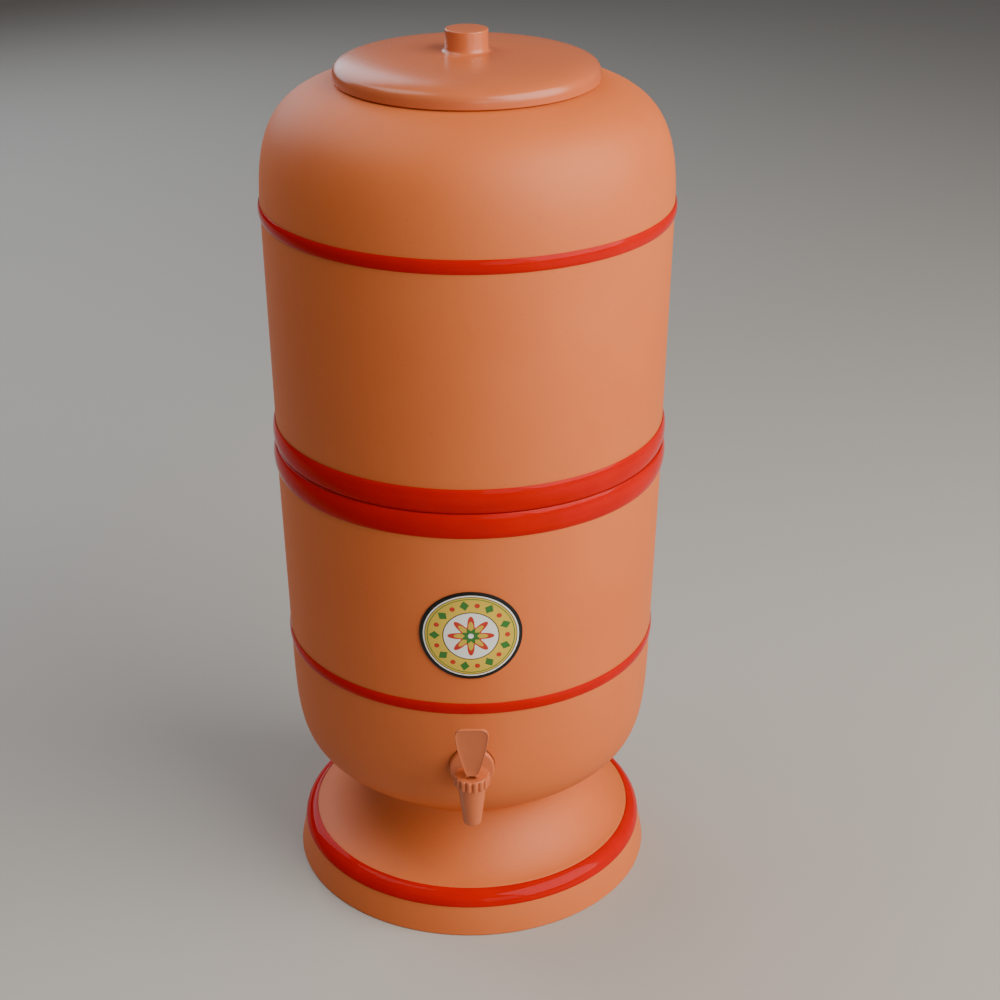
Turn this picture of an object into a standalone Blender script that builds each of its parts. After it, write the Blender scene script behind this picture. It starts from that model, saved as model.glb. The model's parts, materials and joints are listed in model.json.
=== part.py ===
"""Two-chamber clay water filter on a flared foot.

The upper reservoir stands in the mouth of the lower one. Water seeps through a ceramic candle in the
upper reservoir, drips past a float valve and leaves the lower reservoir by a lever tap at the front.
Metres, +Z up, the front faces -Y, and the origin is on the ground under the middle
of the whole object, tap included, a little in front of the vessels' axis.
"""

from math import cos, hypot, pi, radians, sin, tan

import bmesh
import bpy
from mathutils import Vector

# Fits and fineness
GAP = 0.0003
OVERRUN = 0.004
WELD = 0.000001
SHARP_EDGE = radians(35)
VESSEL_SIDES = 44
ROUND_SIDES = 24
BORE_SIDES = 16
WASHER_SIDES = 16
PIN_SIDES = 12
POST_SIDES = 8
HEXAGON = 6

# Foot
FOOT_INSET = 0.0032
FOOT_FLARE = 0.0036
FOOT_RIM_HEIGHT = 0.0184
FOOT_BEVEL_WIDTH = 0.0075
FOOT_BEVEL_HEIGHT = 0.0088
FOOT_TOP_SLOPE = radians(7)
FOOT_SWEEP = 0.017
FOOT_WALL = 0.0085
FOOT_EDGE = 0.0012
FOOT_STEPS = 6
FOOT_HOLLOW_STEPS = 4

# Neck and bowl of the lower reservoir
NECK_RADIUS = 0.0695
NECK_RISE = 0.0336
NECK_SLOPE = radians(34)
NECK_FILLET = 0.0085
BOWL_HEIGHT = 0.0892
BOWL_SWEEP = 0.044
BOWL_DROP = 0.066
BOWL_STEPS = 8
BOWL_INSIDE_STEPS = 5

# Lower reservoir
LOWER_MOUTH_RADIUS = 0.1136
LOWER_TAPER = 0.0036
LOWER_WALL_HEIGHT = 0.134
WALL = 0.0075
BOWL_FLOOR = 0.0095
BOWL_FLOOR_RADIUS = 0.036
LIP_EDGE = 0.0012

# Upper reservoir
UPPER_WALL_HEIGHT = 0.1443
JOINT_STEP = 0.0006
UPPER_FLARE = 0.0027
DOME_HEIGHT = 0.0650
DOME_RISE = 0.0445
DOME_SWEEP = 0.034
DOME_SLOPE = radians(11)
DOME_STEPS = 8
DOME_INSIDE_STEPS = 5
MOUTH_RADIUS = 0.058
MOUTH_RIM = 0.012
SPIGOT_DEPTH = 0.009
SPIGOT_CLEARANCE = 0.0012
UPPER_FLOOR = 0.010
INNER_FILLET = 0.012

# Relief bands
SHOULDER_BAND_HEIGHT = 0.0080
RIM_BAND_HEIGHT = 0.0140
WAIST_BAND_HEIGHT = 0.0070
WAIST_BAND_LIFT = 0.0066
BAND_BULGE = 0.0013
WAIST_BAND_BULGE = 0.0010
FOOT_BAND_BULGE = 0.0024
BAND_ARC_STEPS = 4

# Lid
LID_OVERHANG = 0.0022
LID_RIM = 0.0065
LID_RISE = 0.0099
LID_EDGE = 0.0014
LID_WALL = 0.006
KNOB_RADIUS = 0.0118
KNOB_HEIGHT = 0.0100
KNOB_EDGE = 0.0006
KNOB_FILLET = 0.0016
SKIRT_CLEARANCE = 0.0015
SKIRT_DEPTH = 0.010
SKIRT_WALL = 0.005

# Label
LABEL_WIDTH = 0.058
LABEL_HEIGHT = 0.056
LABEL_THICKNESS = 0.0006
LABEL_SINK = 0.0080
LABEL_SIDES = 32
LABEL_RING_SHARES = (0.0, 0.5, 1.0)

# Ceramic candle
CANDLE_RADIUS = 0.0245
CANDLE_HEIGHT = 0.094
CANDLE_WALL = 0.006
CANDLE_DOME_STEPS = 6
CANDLE_CAVITY_STEPS = 4
CANDLE_BASE_RIM = 0.0015
CANDLE_BASE = 0.007
CANDLE_PLUG = 0.006
CORE_CLEARANCE = 0.0035
CORE_HEADROOM = 0.028
STEM_RADIUS = 0.0048
STEM_BORE = 0.0020
STEM_HOLE_CLEARANCE = 0.0012
CANDLE_WASHER_RADIUS = 0.0130
CANDLE_WASHER = 0.0020
CANDLE_NUT_RADIUS = 0.0115
CANDLE_NUT = 0.0070

# Float valve
HUB_RADIUS = 0.0090
HUB_SOCKET = 0.0100
NOZZLE_LENGTH = 0.0060
NOZZLE_RADIUS = 0.0050
CAGE_PLATE = 0.0025
CAGE_POST_RADIUS = 0.0018
CAGE_POSTS = 4
CAGE_LEDGE = 0.0035
FLOAT_RADIUS = 0.0205
FLOAT_CLEARANCE = 0.0031
FLOAT_HEIGHT = 0.0220
FLOAT_EDGE = 0.0030
FLOAT_BOSS = 0.0040
FLOAT_BOSS_WALL = 0.0016
FLOAT_TRAVEL = 0.0060
STOPPER_RADIUS = 0.0042
STOPPER_THICKNESS = 0.0030
STOPPER_RECESS = 0.0012

# Tap: shank, washers and lock nut
TAP_DROP = 0.0290
TAP_STANDOFF = 0.0273
TAP_SEAT_DEPTH = 0.0016
TAP_INNER_SEAT_DEPTH = 0.0004
SHANK_RADIUS = 0.0065
SHANK_BORE = 0.0028
SHANK_END = 0.0040
SHANK_NECK_DROP = 0.0005
FLANGE_RADIUS = 0.0130
FLANGE_THICKNESS = 0.0030
FLANGE_EDGE = 0.0010
OUTER_WASHER_INSET = 0.0008
OUTER_WASHER = 0.0020
INNER_WASHER_MARGIN = 0.0007
INNER_WASHER = 0.0020
LOCK_NUT_RADIUS = 0.0108
LOCK_NUT = 0.0060

# Tap: barrel and spout, heights from the shank's axis
CHAMBER_RADIUS = 0.0056
CHAMBER_WALL = 0.0013
BARREL_SHOULDER = 0.0052
BARREL_SHOULDER_WIDTH = 0.0012
BARREL_NECK = 0.0046
SEAT_DROP = 0.0065
SPOUT_DROP = 0.0200
SPOUT_BORE = 0.0034
SPOUT_WALL = 0.0017
SPOUT_EDGE = 0.0014

# Tap: bonnet
BONNET_ROOM = 0.0006
BONNET_DISC = 0.0020
BONNET_EDGE = 0.0004
BONNET_WALL = 0.0016
BONNET_OVERHANG = 0.0005
BONNET_RIB = 0.0009
BONNET_RIBS = 16
POINTS_PER_RIB = 3

# Tap: stem, cup, spring and pin
VALVE_STEM_TIP_RADIUS = 0.0016
VALVE_STEM_TIP = 0.0040
VALVE_COLLAR = 0.0010
COLLAR_CLEARANCE = 0.0012
TONGUE_WIDTH = 0.0032
TONGUE_EDGE = 0.0003
TONGUE_ARC_STEPS = 6
CUP_CLEARANCE = 0.0009
CUP_HEIGHT = 0.0060
CUP_LIP = 0.0012
SPRING_CLEARANCE = 0.0007
SPRING_WIRE = 0.0004
SPRING_TURNS = 5
SPRING_TURN_POINTS = 8
PIN_RADIUS = 0.0009
PIN_LIFT = 0.0034

# Tap: lever
LEVER_SWING = radians(45)
STEM_TRAVEL = 0.0025
LUG_WIDTH = 0.0018
CROTCH_CLEARANCE = 0.0011
CAM_STEPS = 6
LUG_ARC_STEPS = 5
PADDLE_OFFSET = 0.0070
PADDLE_FOOT = 0.0008
PADDLE_HEIGHT = 0.0344
PADDLE_WIDTH = 0.0186
PADDLE_THICKNESS = 0.0024
PADDLE_DISH = 0.0005
PADDLE_LEAN = radians(12)
PADDLE_HEIGHT_SHARES = (0.0, 0.08, 0.30, 0.58, 0.84, 0.94, 0.985, 1.0)
PADDLE_WIDTH_SHARES = (0.32, 0.44, 0.66, 0.87, 1.0, 0.93, 0.78, 0.60)
PADDLE_FRONT_SHARES = ((-1.0, -0.5), (-0.84, 0.0), (0.0, 0.0), (0.84, 0.0), (1.0, -0.5))
PADDLE_BACK_SHARES = ((0.7, -1.0), (-0.7, -1.0))

# Vessels: radii and heights that follow from the sizes
FOOT_RADIUS = LOWER_MOUTH_RADIUS - FOOT_INSET
FOOT_RIM_RADIUS = FOOT_RADIUS - FOOT_FLARE
FOOT_TOP_RADIUS = FOOT_RIM_RADIUS - FOOT_BEVEL_WIDTH
FOOT_TOP_HEIGHT = FOOT_RIM_HEIGHT + FOOT_BEVEL_HEIGHT
NECK_HEIGHT = FOOT_TOP_HEIGHT + NECK_RISE
WAIST_HEIGHT = NECK_HEIGHT + BOWL_HEIGHT
WAIST_RADIUS = LOWER_MOUTH_RADIUS - LOWER_TAPER
WAIST_BAND_TOP = WAIST_HEIGHT + WAIST_BAND_LIFT + WAIST_BAND_HEIGHT
LOWER_HEIGHT = WAIST_HEIGHT + LOWER_WALL_HEIGHT
LOWER_RIM_BAND_TOP = LOWER_HEIGHT - LIP_EDGE / 2
LABEL_CENTRE = (WAIST_BAND_TOP + LOWER_RIM_BAND_TOP - RIM_BAND_HEIGHT) / 2 - LABEL_SINK
UPPER_BASE_RADIUS = LOWER_MOUTH_RADIUS - JOINT_STEP
SHOULDER_RADIUS = UPPER_BASE_RADIUS + UPPER_FLARE
DOME_BASE_HEIGHT = LOWER_HEIGHT + UPPER_WALL_HEIGHT
LID_SEAT_HEIGHT = DOME_BASE_HEIGHT + DOME_HEIGHT
LID_SEAT_RADIUS = MOUTH_RADIUS + MOUTH_RIM
LID_RADIUS = LID_SEAT_RADIUS + LID_OVERHANG
UPPER_FLOOR_UNDERSIDE = LOWER_HEIGHT - SPIGOT_DEPTH
UPPER_FLOOR_TOP = UPPER_FLOOR_UNDERSIDE + UPPER_FLOOR
BOWL_INNER_FLOOR = NECK_HEIGHT + WALL * cos(NECK_SLOPE) - BOWL_FLOOR * sin(NECK_SLOPE)

# Candle and float valve: radii and heights that follow from the sizes
CANDLE_BASE_RADIUS = CANDLE_RADIUS + CANDLE_BASE_RIM
CANDLE_WASHER_TOP = UPPER_FLOOR_TOP + GAP + CANDLE_WASHER
UNDER_WASHER_LOW = UPPER_FLOOR_UNDERSIDE - GAP - CANDLE_WASHER
CANDLE_NUT_LOW = UNDER_WASHER_LOW - GAP - CANDLE_NUT
CAGE_POST_CIRCLE = FLOAT_RADIUS + FLOAT_CLEARANCE + CAGE_POST_RADIUS
CAGE_RADIUS = CAGE_POST_CIRCLE + CAGE_POST_RADIUS + GAP
FLOAT_BOSS_RADIUS = STOPPER_RADIUS + FLOAT_BOSS_WALL

# Tap: radii that follow from the sizes
OUTER_WASHER_RADIUS = FLANGE_RADIUS - OUTER_WASHER_INSET
INNER_WASHER_RADIUS = LOCK_NUT_RADIUS + INNER_WASHER_MARGIN
SHANK_NECK_RADIUS = BARREL_SHOULDER - SHANK_NECK_DROP
BARREL_NECK_RADIUS = CHAMBER_RADIUS + CHAMBER_WALL
BARREL_RADIUS = BARREL_NECK_RADIUS + BARREL_SHOULDER_WIDTH
SPOUT_RADIUS = SPOUT_BORE + SPOUT_WALL
BONNET_SKIRT_RADIUS = BARREL_NECK_RADIUS + GAP + BONNET_WALL
BONNET_RADIUS = BONNET_SKIRT_RADIUS + BONNET_RIB + BONNET_OVERHANG
TONGUE_DEPTH = 2 * (PIN_RADIUS + GAP + TONGUE_EDGE)
VALVE_STEM_RADIUS = hypot(TONGUE_WIDTH, TONGUE_DEPTH) / 2
VALVE_COLLAR_RADIUS = CHAMBER_RADIUS - COLLAR_CLEARANCE
CUP_RADIUS = CHAMBER_RADIUS - CUP_CLEARANCE
SPRING_RADIUS = VALVE_STEM_RADIUS + SPRING_CLEARANCE + SPRING_WIRE
LEVER_WIDTH = TONGUE_WIDTH + 2 * (GAP + LUG_WIDTH)
CROTCH_HEIGHT = TONGUE_DEPTH / 2 + CROTCH_CLEARANCE

# Tap: heights above the shank's axis that follow from the sizes
BARREL_NECK_TOP = BARREL_SHOULDER + BARREL_NECK
BONNET_TOP = BARREL_NECK_TOP + BONNET_ROOM + BONNET_DISC
PIN_HEIGHT = BONNET_TOP + PIN_LIFT
CUP_LOW = GAP - SEAT_DROP
CUP_TOP = CUP_LOW + CUP_HEIGHT
COLLAR_LOW = CUP_TOP + GAP
COLLAR_TOP = COLLAR_LOW + VALVE_COLLAR

# The cam lifts the stem this far for each radian that the lever turns
STEM_LIFT_PER_RADIAN = STEM_TRAVEL / LEVER_SWING


def bezier(start, start_pull, end_pull, end, steps):
    """Points of a cubic curve between two (radius, height) points, both ends included."""
    corners = (start, start_pull, end_pull, end)
    points = []
    for index in range(steps + 1):
        t = index / steps
        s = 1 - t
        weights = (s * s * s, 3 * s * s * t, 3 * s * t * t, t * t * t)
        radius = sum(weight * corner[0] for weight, corner in zip(weights, corners))
        height = sum(weight * corner[1] for weight, corner in zip(weights, corners))
        points.append((radius, height))
    return points


def offset(points, distance):
    """The curve moved sideways, towards the inside of the vessel on a falling outline."""
    moved = []
    for index, (radius, height) in enumerate(points):
        before = points[max(index - 1, 0)]
        after = points[min(index + 1, len(points) - 1)]
        run = (after[0] - before[0], after[1] - before[1])
        length = hypot(*run)
        moved.append((radius + distance * run[1] / length, height - distance * run[0] / length))
    return moved


def radius_on(points, height):
    """Radius of a falling outline at a height."""
    for above, below in zip(points, points[1:]):
        if below[1] <= height <= above[1]:
            share = (height - below[1]) / (above[1] - below[1])
            return below[0] + share * (above[0] - below[0])
    return points[-1][0]


def bowl_curve(steps):
    """Outside of the bowl, from the waist down to the neck."""
    lean = (LOWER_MOUTH_RADIUS - WAIST_RADIUS) / (LOWER_HEIGHT - WAIST_HEIGHT)
    start = (WAIST_RADIUS, WAIST_HEIGHT)
    start_pull = (WAIST_RADIUS - BOWL_DROP * lean, WAIST_HEIGHT - BOWL_DROP)
    end = (NECK_RADIUS, NECK_HEIGHT)
    end_pull = (NECK_RADIUS + BOWL_SWEEP * cos(NECK_SLOPE), NECK_HEIGHT + BOWL_SWEEP * sin(NECK_SLOPE))
    return bezier(start, start_pull, end_pull, end, steps)


# The tap stands off the wall, and setting the vessels back centres the whole object,
# from the paddle's tip to the shoulder band
TAP_HEIGHT = WAIST_HEIGHT - TAP_DROP
TAP_REACH = radius_on(bowl_curve(BOWL_STEPS), TAP_HEIGHT) + TAP_STANDOFF
PADDLE_TIP_REACH = TAP_REACH + PADDLE_OFFSET + (PADDLE_FOOT + PADDLE_HEIGHT) * tan(PADDLE_LEAN)
AXIS_SETBACK = (PADDLE_TIP_REACH - SHOULDER_RADIUS - BAND_BULGE) / 2

ORIGIN = (0.0, 0.0, 0.0)
VESSEL_PLACE = (0.0, AXIS_SETBACK, 0.0)
SHANK_PLACE = (0.0, AXIS_SETBACK, TAP_HEIGHT)
VALVE_PLACE = (0.0, AXIS_SETBACK - TAP_REACH, TAP_HEIGHT)
PIN_PLACE = (0.0, AXIS_SETBACK - TAP_REACH, TAP_HEIGHT + PIN_HEIGHT)
UPRIGHT = (0.0, 0.0, 0.0)
FACING_FRONT = (radians(90), 0.0, 0.0)
FACING_SIDE = (0.0, radians(90), 0.0)


def clear_scene():
    for item in list(bpy.data.objects):
        bpy.data.objects.remove(item, do_unlink=True)


def material(name, colour, roughness, metallic=0.0):
    """A named Principled material, made once."""
    made = bpy.data.materials.get(name)
    if made is None:
        made = bpy.data.materials.new(name)
        made.use_nodes = True
        shader = made.node_tree.nodes["Principled BSDF"]
        shader.inputs["Base Color"].default_value = (*colour, 1.0)
        shader.inputs["Roughness"].default_value = roughness
        shader.inputs["Metallic"].default_value = metallic
        made.diffuse_color = (*colour, 1.0)
    return made


def fired_clay():
    return material("fired_clay", (0.56, 0.18, 0.065), 0.55)


def clay_coloured_plastic():
    return material("clay_coloured_plastic", (0.60, 0.22, 0.11), 0.35)


def red_glaze():
    return material("red_glaze", (0.45, 0.012, 0.004), 0.22)


def printed_label():
    return material("printed_label", (0.58, 0.37, 0.10), 0.40)


def white_ceramic():
    return material("white_ceramic", (0.78, 0.76, 0.70), 0.75)


def carbon_block():
    return material("carbon_block", (0.02, 0.02, 0.02), 0.90)


def white_plastic():
    return material("white_plastic", (0.75, 0.76, 0.76), 0.35)


def silicone():
    return material("silicone", (0.62, 0.62, 0.60), 0.50)


def stainless():
    return material("stainless_wire", (0.60, 0.60, 0.62), 0.25, 1.0)


def finish(item, finish_material, location=VESSEL_PLACE, rotation=UPRIGHT):
    item.location = location
    item.rotation_euler = rotation
    item.data.materials.append(finish_material)
    bpy.context.scene.collection.objects.link(item)
    return item


def solid(name, form, finish_material, location=VESSEL_PLACE, rotation=UPRIGHT):
    """An object from a bmesh, with its faces out and its rounds smooth."""
    bmesh.ops.remove_doubles(form, verts=form.verts, dist=WELD)
    bmesh.ops.recalc_face_normals(form, faces=form.faces)
    mesh = bpy.data.meshes.new(name)
    form.to_mesh(mesh)
    form.free()
    mesh.shade_smooth()
    mesh.set_sharp_from_angle(angle=SHARP_EDGE)
    return finish(bpy.data.objects.new(name, mesh), finish_material, location, rotation)


def turned(name, outline, sides, finish_material, location=VESSEL_PLACE, rotation=UPRIGHT):
    """A solid turned about Z from a closed outline of (radius, height) points."""
    form = bmesh.new()
    points = [form.verts.new((radius, 0.0, height)) for radius, height in outline]
    for start, end in zip(points, points[1:] + points[:1]):
        if start.co.x > 0.0 or end.co.x > 0.0:
            form.edges.new((start, end))
    profile = form.verts[:] + form.edges[:]
    axis = {"cent": ORIGIN, "axis": (0.0, 0.0, 1.0), "angle": 2 * pi}
    bmesh.ops.spin(form, geom=profile, steps=sides, use_merge=True, **axis)
    return solid(name, form, finish_material, location, rotation)


def tube_outline(inner, outer, low, high):
    return [(outer, high), (outer, low), (inner, low), (inner, high)]


def rod_outline(radius, low, high):
    return [(0.0, high), (radius, high), (radius, low), (0.0, low)]


def dome_cap(radius, top, steps):
    """A quarter round from the axis at the top out to the full radius."""
    points = []
    for index in range(steps + 1):
        angle = pi / 2 * index / steps
        points.append((radius * sin(angle), top - radius * (1 - cos(angle))))
    return points


def extruded(name, outline, half_width, finish_material, location=VESSEL_PLACE):
    """A plate of (front, up) points, extruded across the object. Front points to -Y."""
    form = bmesh.new()
    face = form.faces.new([form.verts.new((-half_width, -front, up)) for front, up in outline])
    grown = bmesh.ops.extrude_face_region(form, geom=[face])["geom"]
    verts = [item for item in grown if isinstance(item, bmesh.types.BMVert)]
    bmesh.ops.translate(form, verts=verts, vec=(2 * half_width, 0.0, 0.0))
    return solid(name, form, finish_material, location)


def boolean(target, other, operation):
    modifier = target.modifiers.new(other.name, "BOOLEAN")
    modifier.operation = operation
    modifier.solver = "EXACT"
    modifier.object = other
    other.hide_render = True
    other.display_type = "WIRE"


def cut(target, cutter):
    boolean(target, cutter, "DIFFERENCE")


def join(target, addition):
    boolean(target, addition, "UNION")


def hex_nut(name, radius, bore, low, high, location=VESSEL_PLACE, rotation=UPRIGHT):
    """A hexagon nut with its corners at radius and its bore cut through."""
    nut = turned(name, rod_outline(radius, low, high), HEXAGON, white_plastic(), location, rotation)
    hole = rod_outline(bore, low - OVERRUN, high + OVERRUN)
    cut(nut, turned(name + "_bore_cutter", hole, BORE_SIDES, white_plastic(), location, rotation))


def lower_wall_radius(height):
    share = (height - WAIST_HEIGHT) / (LOWER_HEIGHT - WAIST_HEIGHT)
    return WAIST_RADIUS + share * (LOWER_MOUTH_RADIUS - WAIST_RADIUS)


def upper_wall_radius(height):
    share = (height - LOWER_HEIGHT) / (DOME_BASE_HEIGHT - LOWER_HEIGHT)
    return UPPER_BASE_RADIUS + share * (SHOULDER_RADIUS - UPPER_BASE_RADIUS)


def foot_curve(steps):
    """Outside of the neck and the foot's top, from the neck down to the foot's shoulder."""
    start = (NECK_RADIUS, NECK_HEIGHT)
    start_pull = (NECK_RADIUS - NECK_FILLET * cos(NECK_SLOPE), NECK_HEIGHT - NECK_FILLET * sin(NECK_SLOPE))
    end = (FOOT_TOP_RADIUS, FOOT_TOP_HEIGHT)
    end_pull_radius = FOOT_TOP_RADIUS - FOOT_SWEEP * cos(FOOT_TOP_SLOPE)
    end_pull = (end_pull_radius, FOOT_TOP_HEIGHT + FOOT_SWEEP * sin(FOOT_TOP_SLOPE))
    return bezier(start, start_pull, end_pull, end, steps)


def foot_hollow():
    """Underside of the foot, from the ground ring up to the hollow's flat ceiling."""
    rim_inside = FOOT_RIM_RADIUS - FOOT_WALL
    ceiling = BOWL_INNER_FLOOR - BOWL_FLOOR
    points = [(rim_inside, 0.0)]
    for radius, height in offset(foot_curve(FOOT_HOLLOW_STEPS), FOOT_WALL)[::-1]:
        if radius < rim_inside and height < ceiling:
            points.append((radius, height))
    points += [(points[-1][0] - FOOT_WALL, ceiling), (0.0, ceiling)]
    return points


def bowl_inside():
    """Inside of the bowl, from its flat floor up to the mouth."""
    points = [(0.0, BOWL_INNER_FLOOR), (BOWL_FLOOR_RADIUS, BOWL_INNER_FLOOR)]
    for radius, height in offset(bowl_curve(BOWL_INSIDE_STEPS), WALL)[::-1]:
        if height > BOWL_INNER_FLOOR + BOWL_FLOOR:
            points.append((radius, height))
    mouth = LOWER_MOUTH_RADIUS - WALL
    points += [(mouth, LOWER_HEIGHT - LIP_EDGE), (mouth + LIP_EDGE, LOWER_HEIGHT)]
    return points


def lower_outline():
    """Outer skin down to the ground, the foot's hollow, then the inside of the bowl."""
    lip = [(LOWER_MOUTH_RADIUS - LIP_EDGE, LOWER_HEIGHT), (LOWER_MOUTH_RADIUS, LOWER_HEIGHT - LIP_EDGE)]
    skin = lip + bowl_curve(BOWL_STEPS) + foot_curve(FOOT_STEPS)[1:]
    rim = [(FOOT_RIM_RADIUS, FOOT_RIM_HEIGHT), (FOOT_RADIUS, FOOT_EDGE), (FOOT_RADIUS - FOOT_EDGE, 0.0)]
    return skin + rim + foot_hollow() + bowl_inside()


def tap_stack():
    """Distances from the vessels' axis to the faces stacked along the tap's shank."""
    skin = [(LOWER_MOUTH_RADIUS, LOWER_HEIGHT)] + bowl_curve(BOWL_STEPS)
    inside = [(LOWER_MOUTH_RADIUS - WALL, LOWER_HEIGHT)] + offset(bowl_curve(BOWL_INSIDE_STEPS), WALL)
    outer_seat = radius_on(skin, TAP_HEIGHT) - TAP_SEAT_DEPTH
    inner_seat = radius_on(inside, TAP_HEIGHT) + TAP_INNER_SEAT_DEPTH
    flange_back = outer_seat + GAP + OUTER_WASHER + GAP
    nut_front = inner_seat - GAP - INNER_WASHER - GAP
    return outer_seat, inner_seat, flange_back, nut_front


def build_lower_reservoir():
    """Bowl and foot in one turned piece, with flat seats and a hole for the tap."""
    lower = turned("lower_reservoir", lower_outline(), VESSEL_SIDES, fired_clay())
    outer_seat, inner_seat, flange_back, nut_front = tap_stack()
    hole = SHANK_RADIUS + GAP
    outer_edge = FLANGE_RADIUS + GAP
    inner_edge = INNER_WASHER_RADIUS + GAP
    outside = flange_back + OVERRUN
    inside = nut_front - OVERRUN
    outline = [(0.0, outside), (outer_edge, outside), (outer_edge, outer_seat), (hole, outer_seat)]
    outline += [(hole, inner_seat), (inner_edge, inner_seat), (inner_edge, inside), (0.0, inside)]
    cutter = turned("tap_hole_cutter", outline, ROUND_SIDES, fired_clay(), SHANK_PLACE, FACING_FRONT)
    cut(lower, cutter)


def dome_curve(steps):
    """Outside of the shoulder, from the lid's seat down to the wall."""
    start = (LID_SEAT_RADIUS, LID_SEAT_HEIGHT)
    start_pull_radius = LID_SEAT_RADIUS + DOME_SWEEP * cos(DOME_SLOPE)
    start_pull = (start_pull_radius, LID_SEAT_HEIGHT - DOME_SWEEP * sin(DOME_SLOPE))
    end = (SHOULDER_RADIUS, DOME_BASE_HEIGHT)
    end_pull = (SHOULDER_RADIUS, DOME_BASE_HEIGHT + DOME_RISE)
    return bezier(start, start_pull, end_pull, end, steps)


def upper_outline():
    """Outer skin down to the joint, the spigot, the floor with the candle's hole, then the inside."""
    spigot = LOWER_MOUTH_RADIUS - WALL - SPIGOT_CLEARANCE
    stem_hole = STEM_RADIUS + STEM_HOLE_CLEARANCE
    joint = LOWER_HEIGHT + GAP
    wall_inside = upper_wall_radius(UPPER_FLOOR_TOP) - WALL
    skin = [(MOUTH_RADIUS + LIP_EDGE, LID_SEAT_HEIGHT)] + dome_curve(DOME_STEPS)
    skin += [(UPPER_BASE_RADIUS, joint + LIP_EDGE), (UPPER_BASE_RADIUS - LIP_EDGE, joint), (spigot, joint)]
    skin += [(spigot, UPPER_FLOOR_UNDERSIDE + LIP_EDGE), (spigot - LIP_EDGE, UPPER_FLOOR_UNDERSIDE)]
    floor = [(stem_hole, UPPER_FLOOR_UNDERSIDE), (stem_hole, UPPER_FLOOR_TOP)]
    floor += [(wall_inside - INNER_FILLET, UPPER_FLOOR_TOP), (wall_inside, UPPER_FLOOR_TOP + INNER_FILLET)]
    dome = offset(dome_curve(DOME_INSIDE_STEPS), WALL)[::-1]
    inner_dome = [point for point in dome if point[0] > MOUTH_RADIUS + WALL]
    lip = [(MOUTH_RADIUS, LID_SEAT_HEIGHT - WALL), (MOUTH_RADIUS, LID_SEAT_HEIGHT - LIP_EDGE)]
    return skin + floor + inner_dome + lip


def build_upper_reservoir():
    turned("upper_reservoir", upper_outline(), VESSEL_SIDES, fired_clay())


def build_lid():
    """Lid with its knob above and the skirt that drops into the mouth below."""
    underside = LID_SEAT_HEIGHT + GAP
    rim_top = underside + LID_RIM
    crown = rim_top + LID_RISE
    knob_top = crown + KNOB_HEIGHT
    skirt_outside = MOUTH_RADIUS - SKIRT_CLEARANCE
    skirt_inside = skirt_outside - SKIRT_WALL
    skirt_bottom = underside - SKIRT_DEPTH
    rise_share = (LID_RADIUS - skirt_inside) / (LID_RADIUS - KNOB_RADIUS)
    outline = [(0.0, knob_top), (KNOB_RADIUS - KNOB_EDGE, knob_top), (KNOB_RADIUS, knob_top - KNOB_EDGE)]
    outline += [(KNOB_RADIUS, crown + KNOB_FILLET), (KNOB_RADIUS + KNOB_FILLET, crown)]
    outline += [(LID_RADIUS - LID_EDGE, rim_top), (LID_RADIUS, rim_top - LID_EDGE), (LID_RADIUS, underside)]
    outline += [(skirt_outside, underside), (skirt_outside, skirt_bottom), (skirt_inside, skirt_bottom)]
    outline += [(skirt_inside, rim_top + rise_share * LID_RISE - LID_WALL)]
    outline += [(KNOB_RADIUS, crown - LID_WALL), (0.0, crown - LID_WALL)]
    turned("lid", outline, VESSEL_SIDES, clay_coloured_plastic())


def build_band(name, top, bottom, bulge):
    """A flat-backed cord between two (radius, height) points of the wall, round on the outside."""
    run = Vector((bottom[0] - top[0], bottom[1] - top[1]))
    out = Vector((-run.y, run.x)).normalized()
    centre = Vector(top) + run / 2 + out * GAP
    outline = []
    for index in range(BAND_ARC_STEPS + 1):
        angle = pi * index / BAND_ARC_STEPS
        point = centre - run / 2 * cos(angle) + out * (bulge - GAP) * sin(angle)
        outline.append((point.x, point.y))
    turned(name, outline, VESSEL_SIDES, red_glaze())


def build_bands():
    """Five relief cords on the clay: shoulder, both sides of the joint, waist and foot."""
    upper_bottom = LOWER_HEIGHT + GAP + LIP_EDGE / 2
    bands = (
        ("shoulder_band", upper_wall_radius, DOME_BASE_HEIGHT, SHOULDER_BAND_HEIGHT, BAND_BULGE),
        ("upper_rim_band", upper_wall_radius, upper_bottom + RIM_BAND_HEIGHT, RIM_BAND_HEIGHT, BAND_BULGE),
        ("lower_rim_band", lower_wall_radius, LOWER_RIM_BAND_TOP, RIM_BAND_HEIGHT, BAND_BULGE),
        ("waist_band", lower_wall_radius, WAIST_BAND_TOP, WAIST_BAND_HEIGHT, WAIST_BAND_BULGE),
    )
    for name, wall_radius, top, height, bulge in bands:
        bottom = top - height
        build_band(name, (wall_radius(top), top), (wall_radius(bottom), bottom), bulge)
    foot_top = (FOOT_TOP_RADIUS, FOOT_TOP_HEIGHT)
    build_band("foot_band", foot_top, (FOOT_RIM_RADIUS, FOOT_RIM_HEIGHT), FOOT_BAND_BULGE)


def label_ring(form, share, layer):
    """One oval ring of the label's points, bent round the wall; a share of zero is its centre point."""
    count = LABEL_SIDES if share > 0.0 else 1
    ring = []
    for index in range(count):
        turn = 2 * pi * index / count
        height = LABEL_CENTRE + share * LABEL_HEIGHT / 2 * sin(turn)
        angle = share * LABEL_WIDTH / 2 * cos(turn) / lower_wall_radius(LABEL_CENTRE)
        radius = lower_wall_radius(height) + layer
        ring.append(form.verts.new((radius * sin(angle), -radius * cos(angle), height)))
    return ring


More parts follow.
